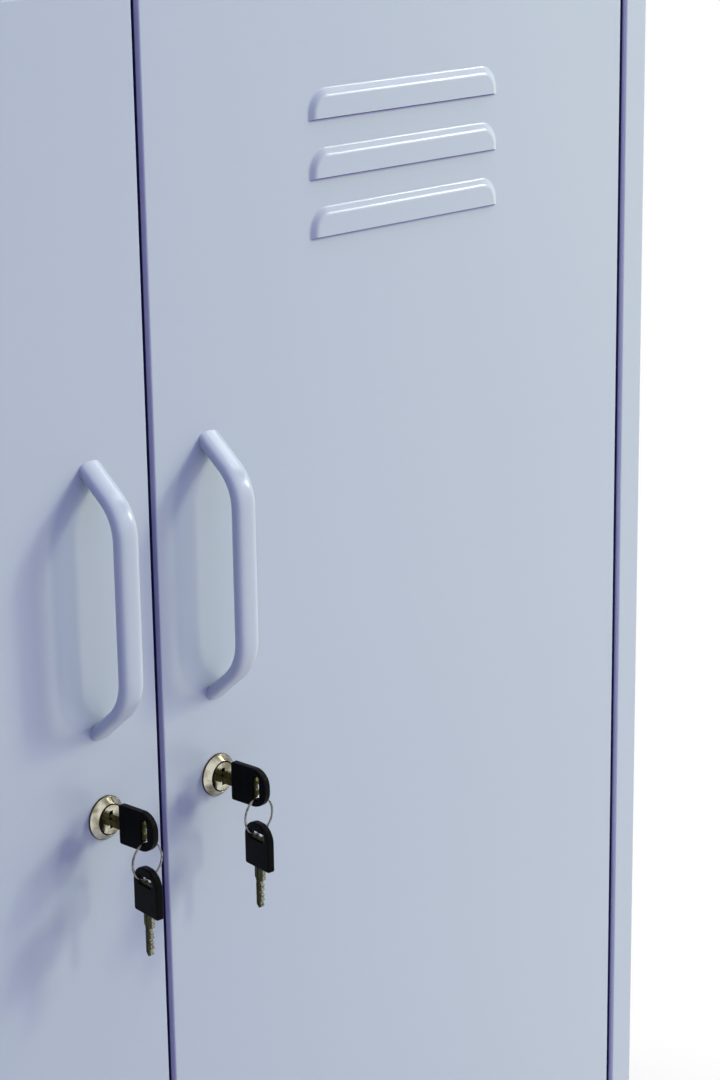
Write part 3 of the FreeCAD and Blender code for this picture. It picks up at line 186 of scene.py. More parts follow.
floor_material = bpy.data.materials.new("studio_floor")
floor_material.use_nodes = True
nodes, links = floor_material.node_tree.nodes, floor_material.node_tree.links
nodes.clear()
distance = nodes.new("ShaderNodeVectorMath")
distance.operation = "LENGTH"
links.new(nodes.new("ShaderNodeTexCoord").outputs["Object"], distance.inputs[0])
fade = between(nodes, links, distance.outputs["Value"], 0, 1, *FLOOR_FADE, "SMOOTHSTEP")
fade = reckoned(nodes, links, "MULTIPLY", fade, seen_directly(nodes, links))
matt = nodes.new("ShaderNodeBsdfDiffuse")
matt.inputs["Color"].default_value = FLOOR_COLOUR
whitened(nodes, links, fade, matt, nodes.new("ShaderNodeEmission"),
         nodes.new("ShaderNodeOutputMaterial"))

floor_shape = bmesh.new()
bmesh.ops.create_circle(floor_shape, cap_ends=True, segments=64, radius=FLOOR_RADIUS)
floor_mesh = bpy.data.meshes.new("studio_floor")
floor_shape.to_mesh(floor_mesh)
floor_shape.free()
floor_mesh.materials.append(floor_material)
floor = bpy.data.objects.new("studio_floor", floor_mesh)
bpy.context.scene.collection.objects.link(floor)

world = bpy.data.worlds.new("studio_room")
world.use_nodes = True
nodes, links = world.node_tree.nodes, world.node_tree.links
nodes.clear()
heading = nodes.new("ShaderNodeSeparateXYZ")
links.new(nodes.new("ShaderNodeTexCoord").outputs["Generated"], heading.inputs[0])
sideways = between(nodes, links, heading.outputs["X"], 0, 1, *ROOM_SIDEWAYS, "SMOOTHSTEP")
upwards = between(nodes, links, heading.outputs["Z"], 0, 1, *ROOM_UPWARDS, "SMOOTHSTEP")
walls = blended(nodes, links, sideways, ROOM_LEFT, ROOM_RIGHT)
room_light = nodes.new("ShaderNodeBackground")
links.new(blended(nodes, links, upwards, walls, ROOM_TOP), room_light.inputs["Color"])
whitened(nodes, links, seen_directly(nodes, links), room_light,
         nodes.new("ShaderNodeBackground"), nodes.new("ShaderNodeOutputWorld"))
bpy.context.scene.world = world

for (width, height), azimuth, elevation, power, colour, mirrored in LAMPS:
    lamp_data = bpy.data.lights.new("soft_lamp", "AREA")
    lamp_data.shape = "RECTANGLE"
    lamp_data.size = width
    lamp_data.size_y = height
    lamp_data.energy = power
    lamp_data.color = colour
    lamp = bpy.data.objects.new("soft_lamp", lamp_data)
    towards_lamp = pointing(math.radians(azimuth), math.radians(elevation))
    aim = Vector((LAMP_AIM_X, face_y, LAMP_AIM_HEIGHT))
    lamp.matrix_world = (
        Matrix.Translation(aim + towards_lamp * LAMP_DISTANCE)
        @ towards_lamp.to_track_quat("Z", "Y").to_matrix().to_4x4()
    )
    lamp.visible_glossy = mirrored
    bpy.context.scene.collection.objects.link(lamp)

# ---------------------------------------------------------------- doors
# Each door is a pan folded from 1 mm steel sheet, its edges turned back all round. Three louvres
# are cut along their lower edge and pressed outwards. The whole is powder coated pale blue-grey.

COAT_COLOUR = (0.396, 0.457, 0.570, 1)
COAT_LIGHT = (0.414, 0.474, 0.584, 1)
# painted light: a lighter violet on the edges that face across the gaps, standing in for the violet
# light that reaches them
GAP_PAINTED_LIGHT = (0.480, 0.480, 0.720, 1)
# painted shade: a dark navy band a few millimetres deep in the door gaps, standing in for the shade
# there
GAP_PAINTED_SHADE = (0.012, 0.014, 0.100, 1)
# painted shade: a violet strip of skin right under each louvre's lip, standing in for the lip's
# shadow
SILL_PAINTED_SHADE = (0.25, 0.25, 0.56, 1)
SHEET = 0.001
FOLD_RADIUS = 0.0009
DOOR_DEPTH = 0.018
DOOR_RETURN = 0.012
STILE_WIDTH = 0.020
# depths behind the doors' faces: where the gaps' painted light or painted shade starts, where it is
# full and where it ends
GAP_LIGHT_BAND = (0.0004, 0.0008, DOOR_DEPTH)
# bands of painted shade in the gaps, on the doors' edges and on the stile's edge
DOOR_GAP_SHADE = (0.0032, 0.0037, 0.0056)
STILE_GAP_SHADE = (0.0021, 0.0027, 0.0054)
TONE_END = 0.0008
EDGE_NEARNESS = 0.0006
LOUVRE_ROWS = 3
LOUVRE_WIDTH = 0.148
LOUVRE_HEIGHT = 0.0155
LOUVRE_LAND = 0.0018
LOUVRE_CORNER = 0.0125
LOUVRE_SLOPE = 0.0035
LOUVRE_ROOT = 0.0008
LOUVRE_CROWN = 0.0013
LOUVRE_LIFT = 0.0007
LOUVRE_PITCH = 0.030
LOUVRE_DROP = 0.073
LOUVRE_MIDDLE = 0.1895
SILL_SHADE_STRIP = (0.00024, 0.0011)
ROW_MARGIN = 0.1
SKIN_NEARNESS = 0.0003
LOCK_HOLE = 0.0089
# how near two points are to lie in one plane, and to be one point
CLOSE = 1e-6
SAME = 1e-7


def new_material(name):
    """A material with only its shader. Returns it with its nodes, links and shader."""
    made = bpy.data.materials.new(name)
    made.use_nodes = True
    nodes, links = made.node_tree.nodes, made.node_tree.links
    return made, nodes, links, nodes["Principled BSDF"]


def grain_group():
    """Noise that stays fixed to the piece, turned into a level between two values."""
    group = bpy.data.node_groups.new("grain", "ShaderNodeTree")
    for name, kind in (("Scale", "Float"), ("Detail", "Float"), ("Stretch", "Vector"),
                       ("Start", "Float"), ("End", "Float"), ("Low", "Float"), ("High", "Float")):
        group.interface.new_socket(name, in_out="INPUT", socket_type=f"NodeSocket{kind}")
    group.interface.new_socket("Level", in_out="OUTPUT", socket_type="NodeSocketFloat")
    nodes, links = group.nodes, group.links
    given = nodes.new("NodeGroupInput").outputs
    coordinates = nodes.new("ShaderNodeTexCoord")
    stretched = nodes.new("ShaderNodeVectorMath")
    stretched.operation = "MULTIPLY"
    links.new(coordinates.outputs["Object"], stretched.inputs[0])
    links.new(given["Stretch"], stretched.inputs[1])
    noise = nodes.new("ShaderNodeTexNoise")
    links.new(stretched.outputs[0], noise.inputs["Vector"])
    links.new(given["Scale"], noise.inputs["Scale"])
    links.new(given["Detail"], noise.inputs["Detail"])
    level = nodes.new("ShaderNodeMapRange")
    links.new(noise.outputs["Fac"], level.inputs["Value"])
    for name, socket in (("Start", "From Min"), ("End", "From Max"), ("Low", "To Min"),
                         ("High", "To Max")):
        links.new(given[name], level.inputs[socket])
    links.new(level.outputs["Result"], nodes.new("NodeGroupOutput").inputs["Level"])
    return group


grain_nodes = grain_group()


def grain(nodes, scale, detail, low=0, high=1, start=0.3, end=0.7, stretch=(1, 1, 1)):
    """Places the grain group in a material with its own values. Returns its level."""
    placed = nodes.new("ShaderNodeGroup")
    placed.node_tree = grain_nodes
    for name, value in (("Scale", scale), ("Detail", detail), ("Stretch", stretch),
                        ("Start", start), ("End", end), ("Low", low), ("High", high)):
        placed.inputs[name].default_value = value
    return placed.outputs["Level"]


def bumped(nodes, links, shader, strength, depth, scale, detail=2.0, stretch=(1, 1, 1)):
    """Gives the surface a fine relief."""
    bump = nodes.new("ShaderNodeBump")
    bump.inputs["Strength"].default_value = strength
    bump.inputs["Distance"].default_value = depth
    links.new(grain(nodes, scale, detail, 0, 1, 0, 1, stretch), bump.inputs["Height"])
    links.new(bump.outputs["Normal"], shader.inputs["Normal"])


def point_on_piece(nodes, links):
    """The X, Y and Z of each point of the piece."""
    parts = nodes.new("ShaderNodeSeparateXYZ")
    links.new(nodes.new("ShaderNodeTexCoord").outputs["Object"], parts.inputs[0])
    return parts.outputs


def gap_light_shade_mask(nodes, links, edges, start, full, last):
    """1 on the upright edges that face each other across a door gap, over a band between two depths
    behind the doors' faces, where the gaps' painted light and painted shade go. The edges are given
    by their distance from the cabinet's middle."""
    point = point_on_piece(nodes, links)
    across = reckoned(nodes, links, "ABSOLUTE", point["X"])
    mask, *others = [reckoned(nodes, links, "COMPARE", across, edge, EDGE_NEARNESS)
                     for edge in edges]
    for other in others:
        mask = reckoned(nodes, links, "MAXIMUM", mask, other)
    for limit in (between(nodes, links, point["Y"], 0, 1, face_y + start, face_y + full),
                  between(nodes, links, point["Y"], 1, 0, face_y + last, face_y + last + TONE_END)):
        mask = reckoned(nodes, links, "MULTIPLY", mask, limit, clamp=True)
    return mask


def sill_shade_mask(nodes, links):
    """Fades from 1 to 0 over a narrow strip of skin under each louvre's lip, where painted shade
    stands in for the shadow that the lip casts. The rows of louvres are counted downwards from 0 at
    the first sill."""
    point = point_on_piece(nodes, links)
    row = reckoned(nodes, links, "MULTIPLY_ADD", point["Z"], -1 / LOUVRE_PITCH,
                   (door_high.z - LOUVRE_DROP) / LOUVRE_PITCH)
    mask = between(nodes, links, reckoned(nodes, links, "FRACT", row), 1, 0,
                   *(edge / LOUVRE_PITCH for edge in SILL_SHADE_STRIP))
    across = reckoned(nodes, links, "ABSOLUTE", point["X"])
    middle_row = (LOUVRE_ROWS - 1) / 2
    for value, middle, half in ((row, middle_row, middle_row + ROW_MARGIN),
                                (across, LOUVRE_MIDDLE, LOUVRE_WIDTH / 2 - SHEET),
                                (point["Y"], face_y, SKIN_NEARNESS)):
        near = reckoned(nodes, links, "COMPARE", value, middle, half)
        mask = reckoned(nodes, links, "MULTIPLY", mask, near, clamp=True)
    return mask


powder_coat, nodes, links, shader = new_material("powder_coat")
tone = blended(nodes, links, grain(nodes, 2.6, 1.0), COAT_COLOUR, COAT_LIGHT)
door_edges = (door_low.x, door_high.x)
stile_edge = (cad_high.x - STILE_WIDTH,)
# Painted light and shade in the gaps: a lighter violet over the edges that face across each gap,
# and a dark navy band a few millimetres deeper in, standing in for the shade inside the gap
for edges, band, colour in ((door_edges + stile_edge, GAP_LIGHT_BAND, GAP_PAINTED_LIGHT),
                            (door_edges, DOOR_GAP_SHADE, GAP_PAINTED_SHADE),
                            (stile_edge, STILE_GAP_SHADE, GAP_PAINTED_SHADE)):
    tone = blended(nodes, links, gap_light_shade_mask(nodes, links, edges, *band), tone, colour)
# Painted shade under each louvre's lip.
tone = blended(nodes, links, sill_shade_mask(nodes, links), tone, SILL_PAINTED_SHADE)
links.new(tone, shader.inputs["Base Color"])
links.new(grain(nodes, 34, 3.0, 0.30, 0.36), shader.inputs["Roughness"])
bumped(nodes, links, shader, 0.10, 0.00012, 420)
shader.inputs["Specular IOR Level"].default_value = 0.15
shader.inputs["Coat Weight"].default_value = 0.65
shader.inputs["Coat Roughness"].default_value = 0.19


def piece_from(name, shape, material, body, slot, *replaced, smooth=38):
    """Turns a finished bmesh into a piece that rides on a body and stands for its CAD nodes."""
    mesh = bpy.data.meshes.new(name)
    shape.to_mesh(mesh)
    shape.free()
    mesh.materials.append(material)
    mesh.shade_smooth()
    mesh.set_sharp_from_angle(angle=math.radians(smooth))
    piece = bpy.data.objects.new(name, mesh)
    bpy.context.scene.collection.objects.link(piece)
    weighted = piece.modifiers.new("weighted_normals", "WEIGHTED_NORMAL")
    weighted.keep_sharp = True
    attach(piece, body)
    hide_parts(*replaced)
    return piece


def rounded(shape, picked, radius, steps, affect="EDGES", clamp=False):
    """Rounds edges, or the corners of an outline."""
    bmesh.ops.bevel(shape, geom=picked, offset=radius, segments=steps, profile=0.5, affect=affect,
                    material=-1, clamp_overlap=clamp)


def moved(shape, x, y, z, points=None):
    """Moves the whole shape, or some of its points."""
    bmesh.ops.translate(shape, vec=(x, y, z), verts=points or shape.verts)


def turned(shape, angle, axis):
    """Turns the whole shape about an axis through the origin."""
    bmesh.ops.rotate(shape, matrix=Matrix.Rotation(angle, 3, axis), verts=shape.verts)


def whole(shape):
    """Everything that a shape is made of."""
    return shape.verts[:] + shape.edges[:] + shape.faces[:]


def sliced(shape, normal, level=(0, 0, 0), **cleared):
    """Cuts the whole shape with a plane, and clears one side of it if told to."""
    bmesh.ops.bisect_plane(shape, geom=whole(shape), dist=SAME, plane_co=level, plane_no=normal,
                           **cleared)


def lock_place(side):
    """Where a lock's axis meets the door's face."""
    low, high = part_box(f"lock_plug_{side}")
    return Vector(((low.x + high.x) / 2, face_y, (low.z + high.z) / 2))


def walled(shape, thickness):
    """Gives an open shell its wall, inwards."""
    mesh = bpy.data.meshes.new("shell")
    shape.to_mesh(mesh)
    shell = bpy.data.objects.new("shell", mesh)
    bpy.context.scene.collection.objects.link(shell)
    wall = shell.modifiers.new("wall", "SOLIDIFY")
    wall.thickness = thickness
    wall.offset = -1
    wall.use_even_offset = True
    solid = bpy.data.meshes.new_from_object(
        shell.evaluated_get(bpy.context.evaluated_depsgraph_get()))
    bpy.data.objects.remove(shell)
    shape.clear()
    shape.from_mesh(solid)
    bpy.data.meshes.remove(solid)
    bpy.data.meshes.remove(mesh)


def louvre_hood():
    """One louvre about the middle of its cut: a flat land, a sloping band and a raised face, whose
    sill the press has drawn up a little."""
    hood = bmesh.new()
    bmesh.ops.create_grid(hood, x_segments=1, y_segments=1, size=1)
    bmesh.ops.scale(hood, vec=(LOUVRE_WIDTH / 2 + LOUVRE_LAND, LOUVRE_HEIGHT + LOUVRE_LAND, 1),
                    verts=hood.verts)
    rounded(hood, hood.verts[:], LOUVRE_CORNER + LOUVRE_LAND, 12, "VERTICES")
    top = next(iter(hood.faces))
    bmesh.ops.inset_region(hood, faces=[top], thickness=LOUVRE_LAND, use_even_offset=True,
                           use_boundary=True)
    band = bmesh.ops.inset_region(hood, faces=[top], thickness=LOUVRE_SLOPE,
                                  use_even_offset=True)["faces"]
    moved(hood, 0, 0, LOUVRE_REACH, top.verts)
    bounds = [e for e in hood.edges if sum(f in band for f in e.link_faces) == 1]
    root = [e for e in bounds if all(abs(v.co.z) < CLOSE for v in e.verts)]
    crown = [e for e in bounds if e not in root]
    rounded(hood, root, LOUVRE_ROOT, 4)
    rounded(hood, crown, LOUVRE_CROWN, 4)
    turned(hood, math.radians(90), "X")
    sliced(hood, (0, 0, 1), clear_inner=True)
    for v in hood.verts:
        if abs(v.co.z) < CLOSE:
            v.co.z -= LOUVRE_LIFT * v.co.y / LOUVRE_REACH
    mesh = bpy.data.meshes.new("louvre_hood")
    hood.to_mesh(mesh)
    hood.free()
    return mesh


def at_face(point):
    """Whether a point lies in the door's face."""
    return abs(point.co.y - face_y) < CLOSE


def set_louvre(pan, x, sill):
    """Puts a louvre into the open face and draws the straight cut along its foot."""
    known = set(pan.verts)
    pan.from_mesh(hood_mesh)
    fresh = [v for v in pan.verts if v not in known]
    moved(pan, x, face_y, sill, fresh)
    ends = [v for v in fresh if at_face(v) and abs(v.co.z - sill) < CLOSE]
    ends.sort(key=lambda v: v.co.x)
    pan.edges.new((ends[1], ends[-2]))


def door_pan(side, sign):
    """The pan's walls and rear edges, its louvres and lock hole, then the skin between them all."""
    low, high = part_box(f"door_{side}")
    pan = bmesh.new()
    bmesh.ops.create_cube(pan, size=1)
    bmesh.ops.scale(pan, vec=(high.x - low.x, DOOR_DEPTH, high.z - low.z), verts=pan.verts)
    moved(pan, (low.x + high.x) / 2, face_y + DOOR_DEPTH / 2, (low.z + high.z) / 2)
    rear = next(f for f in pan.faces if f.normal.y > 0.9)
    bmesh.ops.inset_region(pan, faces=[rear], thickness=DOOR_RETURN, use_even_offset=True)
    bmesh.ops.delete(pan, geom=[rear], context="FACES_ONLY")
    front = next(f for f in pan.faces if f.normal.y < -0.9)
    rounded(pan, front.edges[:], FOLD_RADIUS, 5)
    front = max((f for f in pan.faces if f.normal.y < -0.99), key=lambda f: f.calc_area())
    bmesh.ops.delete(pan, geom=[front], context="FACES_ONLY")
    for row in range(LOUVRE_ROWS):
        set_louvre(pan, sign * LOUVRE_MIDDLE, high.z - LOUVRE_DROP - row * LOUVRE_PITCH)
    upright = Matrix.Rotation(math.radians(90), 4, "X")
    bmesh.ops.create_circle(pan, cap_ends=False, segments=32, radius=LOCK_HOLE,
                            matrix=Matrix.Translation(lock_place(side)) @ upright)
    rims = [e for e in pan.edges if len(e.link_faces) < 2 and all(at_face(v) for v in e.verts)]
    bmesh.ops.triangle_fill(pan, use_beauty=True, edges=rims, normal=(0, -1, 0))
    walled(pan, SHEET)
    return pan


hood_mesh = louvre_hood()
for side, sign in SIDES.items():
    piece_from(f"door_pan_{side}", door_pan(side, sign), powder_coat, f"{side}_door",
               "powder_coat", f"door_{side}")

# ---------------------------------------------------------------- handles
# Each handle is a flat oval steel bar bent twice, out from the door, along it and back, with its
# ends cut off flush against the skin and screwed from behind. It is coated like the door.

BAR_WIDTH = 0.0138
BAR_THICKNESS = 0.0064
BAR_FLATNESS = 3
BAR_REACH = 0.023
BAR_RISE = 0.0195
BAR_SPAN = 0.1326
BAR_BEND = 0.026
LEG_BEFORE_CUT = 0.05


def only(kind, geometry):
    """The vertices or the edges in what an operator gives back."""
    return [part for part in geometry if isinstance(part, kind)]


def handle_bar():
    """The bar's upper half, along the door, round the bend and down to the skin, then mirrored."""
    turn = math.atan2(BAR_REACH, BAR_RISE)
    bend_start = BAR_SPAN / 2 - BAR_RISE - BAR_BEND * math.tan(turn / 2)
    bar = bmesh.new()
    bmesh.ops.create_circle(bar, cap_ends=False, segments=48, radius=1)
    for v in bar.verts:
        v.co = [math.copysign(abs(part) ** (2 / BAR_FLATNESS), part) for part in v.co]
    bmesh.ops.scale(bar, vec=(BAR_WIDTH / 2, BAR_THICKNESS / 2, 1), verts=bar.verts)
    moved(bar, 0, -BAR_REACH, 0)
    grip = bmesh.ops.extrude_edge_only(bar, edges=bar.edges[:])["geom"]
    grip_end = only(bmesh.types.BMVert, grip)
    moved(bar, 0, 0, bend_start, grip_end)
    ring = [e for e in only(bmesh.types.BMEdge, grip) if all(v in grip_end for v in e.verts)]
    bend = bmesh.ops.spin(bar, geom=ring + grip_end, cent=(0, BAR_BEND - BAR_REACH, bend_start),
                          axis=(-1, 0, 0), angle=turn, steps=14, use_duplicate=False)["geom_last"]
    leg = bmesh.ops.extrude_edge_only(bar, edges=only(bmesh.types.BMEdge, bend))["geom"]
    along = Vector((0, BAR_REACH, BAR_RISE)).normalized()
    moved(bar, *(along * LEG_BEFORE_CUT), only(bmesh.types.BMVert, leg))
    sliced(bar, (0, 1, 0), clear_outer=True)
    bmesh.ops.mirror(bar, geom=whole(bar), merge_dist=CLOSE, axis="Z")
    bmesh.ops.remove_doubles(bar, verts=bar.verts, dist=CLOSE)
    bmesh.ops.holes_fill(bar, edges=[e for e in bar.edges if e.is_boundary])
    bmesh.ops.recalc_face_normals(bar, faces=bar.faces)
    return bar


for side in SIDES:
    low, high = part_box(f"handle_{side}")
    bar = handle_bar()
    moved(bar, (low.x + high.x) / 2, face_y, (low.z + high.z) / 2)
    piece_from(f"handle_bar_{side}", bar, powder_coat, f"{side}_door", "powder_coat",
               f"handle_{side}")

# ---------------------------------------------------------------- cam locks
# Die-cast lock housings, nickel plated and polished: a cone-shaped rosette in front of the skin, a
# barrel behind it, and a plug with a keyway that turns in the middle.

NICKEL_REFLECTED_DARK = (0.22, 0.20, 0.14, 1)
NICKEL_REFLECTED_LIGHT = (0.60, 0.58, 0.48, 1)
NICKEL_JOINT_SHADE = (0.05, 0.045, 0.03, 1)
JOINT_WIDTH = 0.0003
ROSETTE_RADIUS = 0.0114
ROSETTE_TOP = 0.0084
ROSETTE_LIFT = 0.004
BORE_RADIUS = 0.0079
BORE_STEP = 0.0026
BARREL_RADIUS = 0.0088
THREAD_RIDGES = 14
THREAD_START = 0.0035
THREAD_PITCH = 0.00125
THREAD_FLANK = 0.0006
THREAD_DEPTH = 0.0005
PLUG_RADIUS = 0.0077
PLUG_LIFT = 0.0042
PLUG_EDGE = 0.00025
CAM_SEAT = 0.0021
KEYWAY_WIDTH = 0.0023
KEYWAY_HEIGHT = 0.0092
KEYWAY_DEPTH = 0.018


def joint_shade_mask(nodes, links, radius):
    """1 on a thin ring about either lock's axis, where painted shade darkens a joint."""
    lock = lock_place("right")
    point = point_on_piece(nodes, links)
    from_axis = nodes.new("ShaderNodeCombineXYZ")
    for number, (part, middle) in enumerate((("X", lock.x), ("Z", lock.z))):
        offset = reckoned(nodes, links, "ABSOLUTE", point[part])
        links.new(reckoned(nodes, links, "SUBTRACT", offset, middle), from_axis.inputs[number])
    length = nodes.new("ShaderNodeVectorMath")
    length.operation = "LENGTH"
    links.new(from_axis.outputs[0], length.inputs[0])
    return reckoned(nodes, links, "COMPARE", length.outputs["Value"], radius, JOINT_WIDTH)


nickel, nodes, links, shader = new_material("nickel")
shader.inputs["Metallic"].default_value = 1.0
# Painted reflection: large noise patches between a dark and a light tone stand in for the dark and
# bright surroundings that the polished nickel mirrors.
tone = blended(nodes, links, grain(nodes, 150, 2.0, start=0.38, end=0.62),
               NICKEL_REFLECTED_DARK, NICKEL_REFLECTED_LIGHT)
# Painted shade: dark rings in the gap between plug and bore, and on the rosette's edge against the
# door.
for radius in (PLUG_RADIUS, ROSETTE_RADIUS):
    tone = blended(nodes, links, joint_shade_mask(nodes, links, radius), tone, NICKEL_JOINT_SHADE)
links.new(tone, shader.inputs["Base Color"])
links.new(grain(nodes, 900, 2.0, 0.10, 0.20), shader.inputs["Roughness"])
bumped(nodes, links, shader, 0.12, 0.0002, 260)


def lathe(profile):
    """A body turned about the Y axis. Each point of its profile is a radius and how far it stands
    in front of the door's face."""
    shape = bmesh.new()
    line = [shape.verts.new((radius, -out, 0)) for radius, out in profile]
    for first, second in zip(line, line[1:]):
        shape.edges.new((first, second))
    bmesh.ops.spin(shape, geom=whole(shape), cent=(0, 0, 0), axis=(0, 1, 0), angle=math.tau,
                   steps=64, use_merge=True, use_duplicate=False)
    bmesh.ops.remove_doubles(shape, verts=shape.verts, dist=CLOSE)
    bmesh.ops.recalc_face_normals(shape, faces=shape.faces)
    return shape


def lock_housing(barrel_end):
    """From the bore over the rosette's rim, along the thread to the barrel's end and back."""
    thread = []
    for ridge in range(THREAD_RIDGES):
        start = -THREAD_START - ridge * THREAD_PITCH
        thread += [(BARREL_RADIUS, start), (BARREL_RADIUS - THREAD_DEPTH, start - THREAD_FLANK)]
    return lathe([
        (BORE_RADIUS, BORE_STEP), (BORE_RADIUS, ROSETTE_LIFT - 0.0003),
        (BORE_RADIUS + 0.0002, ROSETTE_LIFT - 0.0001), (ROSETTE_TOP - 0.0002, ROSETTE_LIFT),
        (ROSETTE_TOP, ROSETTE_LIFT - 0.0001), (ROSETTE_RADIUS - 0.0010, 0.0013),
        (ROSETTE_RADIUS - 0.0004, 0.0010), (ROSETTE_RADIUS - 0.0001, 0.0007),
        (ROSETTE_RADIUS, 0.0004), (ROSETTE_RADIUS, 0.0), (BARREL_RADIUS, 0.0),
        (BARREL_RADIUS, -0.003), *thread, (BARREL_RADIUS, barrel_end),
        (BORE_RADIUS, barrel_end), (BORE_RADIUS, BORE_STEP),
    ])


def lock_plug(length):
    """A round plug as far as the cam's seat, its front face at the origin: the face about its
    keyway, the wall and the well that the blade slides in."""
    plug = bmesh.new()
    bmesh.ops.create_circle(plug, cap_ends=False, segments=64, radius=PLUG_RADIUS)
    outline = plug.edges[:]
    keyway = bmesh.ops.create_grid(plug, x_segments=1, y_segments=1, size=1)["verts"]
    bmesh.ops.scale(plug, vec=(KEYWAY_WIDTH / 2, KEYWAY_HEIGHT / 2, 1), verts=keyway)
    bmesh.ops.delete(plug, geom=plug.faces[:], context="FACES_ONLY")
    slot = [e for e in plug.edges if e not in outline]
    bmesh.ops.triangle_fill(plug, use_beauty=True, edges=outline + slot, normal=(0, 0, 1))
    for rim, depth in ((outline, length), (slot, KEYWAY_DEPTH)):
        wall = bmesh.ops.extrude_edge_only(plug, edges=rim)["geom"]
        moved(plug, 0, 0, -depth, only(bmesh.types.BMVert, wall))
        ends = [e for e in only(bmesh.types.BMEdge, wall) if e.is_boundary]
        bmesh.ops.holes_fill(plug, edges=ends)
    front = [e for e in plug.edges if all(
        abs(v.co.z) < SAME and abs(v.co.xy.length - PLUG_RADIUS) < 1e-5 for v in e.verts)]
    rounded(plug, front, PLUG_EDGE, 2)
    bmesh.ops.recalc_face_normals(plug, faces=plug.faces)
    turned(plug, math.radians(90), "X")
    return plug


for side in SIDES:
    lock = lock_place(side)
    housing = lock_housing(face_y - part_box(f"lock_housing_{side}")[1].y)
    moved(housing, *lock)
    piece_from(f"lock_rosette_{side}", housing, nickel, f"{side}_door", "nickel",
               f"lock_housing_{side}")
    plug = lock_plug(PLUG_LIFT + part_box(f"lock_plug_{side}")[1].y - face_y - CAM_SEAT)
    moved(plug, lock.x, lock.y - PLUG_LIFT, lock.z)
    piece_from(f"lock_plug_face_{side}", plug, nickel, f"{side}_lock_plug", "nickel",
               f"lock_plug_{side}")

# ---------------------------------------------------------------- keys
# Flat keys stamped from brass and thinly nickel plated, each with a black plastic head moulded on
# its bow. One stands in each lock; a spare of the same kind hangs from it on a ring.

HEAD_LENGTH = 0.0245
HEAD_WIDTH = 0.0206
HEAD_THICKNESS = 0.004
HEAD_CORNER = 0.009
HEAD_SHOULDER = 0.0012
HEAD_EDGE = 0.0007
HEAD_BRIDGE = 0.0048
HEAD_SLOT = (0.0044, 0.0132)
SLOT_FLAT = 0.00005
SPARE_TWIST = math.radians(-10)


def grained_material(name, dark, light, tone, gloss, metallic=0.0):
    """A material whose colour and roughness vary a little over the piece. The tone is given by its
    grain's scale and detail, the gloss by those and its least and most rough values."""
    made, nodes, links, shader = new_material(name)
    shader.inputs["Metallic"].default_value = metallic
    links.new(blended(nodes, links, grain(nodes, *tone), dark, light), shader.inputs["Base Color"])
    links.new(grain(nodes, *gloss), shader.inputs["Roughness"])
    return made, nodes, links, shader


key_plastic, nodes, links, shader = grained_material(
    "key_plastic", (0.0010, 0.0010, 0.0012, 1), (0.0022, 0.0022, 0.0026, 1),
    (300, 3.0), (700, 2.0, 0.34, 0.46))
shader.inputs["Specular IOR Level"].default_value = 0.05
bumped(nodes, links, shader, 0.25, 0.00005, 2600)

key_brass, nodes, links, shader = grained_material(
    "key_brass", (0.042, 0.042, 0.016, 1), (0.090, 0.084, 0.034, 1),
    (420, 4.0), (700, 3.0, 0.24, 0.42), metallic=1.0)
bumped(nodes, links, shader, 0.2, 0.0001, 500, 3.0, (1, 1, 0.2))

key_edge, nodes, links, shader = grained_material(
    "key_edge", (0.07, 0.07, 0.045, 1), (0.36, 0.36, 0.29, 1),
    (900, 3.0), (700, 2.0, 0.16, 0.30), metallic=1.0)


def pressed_out(shape, thickness):
    """Gives a flat shape its thickness, the same to both sides."""
    raised = bmesh.ops.extrude_face_region(shape, geom=shape.faces[:])["geom"]
    moved(shape, 0, thickness, 0, only(bmesh.types.BMVert, raised))
    moved(shape, 0, -thickness / 2, 0)
    bmesh.ops.recalc_face_normals(shape, faces=shape.faces)


def key_head():
    """Half the head's outline is drawn and mirrored. X runs to the round end, from the shoulder."""
    head = bmesh.new()
    slot_end = HEAD_LENGTH - HEAD_BRIDGE
    slot_start = slot_end - HEAD_SLOT[0]
    slot_half = HEAD_SLOT[1] / 2
    half = HEAD_WIDTH / 2
    corners = [(0, 0), (slot_start, 0), (slot_start, slot_half), (slot_end, slot_half),
               (slot_end, 0), (HEAD_LENGTH, 0), (HEAD_LENGTH, half), (0, half)]
    ring = [head.verts.new((x, 0, z)) for x, z in corners]
    head.faces.new(ring)
    rounded(head, ring[2:4], HEAD_SLOT[0] / 2 - SLOT_FLAT, 6, "VERTICES")
    rounded(head, ring[6:7], HEAD_CORNER, 12, "VERTICES")
    rounded(head, ring[7:8], HEAD_SHOULDER, 4, "VERTICES")
    bmesh.ops.mirror(head, geom=whole(head), merge_dist=SAME, axis="Z")
    bmesh.ops.remove_doubles(head, verts=head.verts, dist=SAME)
    bmesh.ops.recalc_face_normals(head, faces=head.faces)
    pressed_out(head, HEAD_THICKNESS)
    rim = [e for e in head.edges if e.calc_face_angle(0) > math.radians(60)
           and abs(e.verts[0].co.y - e.verts[1].co.y) < SAME]
    rounded(head, rim, HEAD_EDGE, 4)
    return head


def stood_in_lock(shape, side, z):
    """Turns a key's part to stand straight out of its lock, at a height, with the head's shoulder
    where the solid head has it."""
    turned(shape, math.radians(-90), "Z")
    moved(shape, lock_place(side).x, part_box(f"key_head_{side}")[1].y, z)
    return shape


def hung_on_ring(shape, side):
    """Turns a spare key's part to hang with its round end upwards, a little twisted."""
    low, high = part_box(f"spare_head_{side}")
    turned(shape, math.radians(-90), "Z")
    turned(shape, math.radians(-90), "X")
    turned(shape, SPARE_TWIST, "Z")
    moved(shape, (low.x + high.x) / 2, (low.y + high.y) / 2, low.z)
    return shape


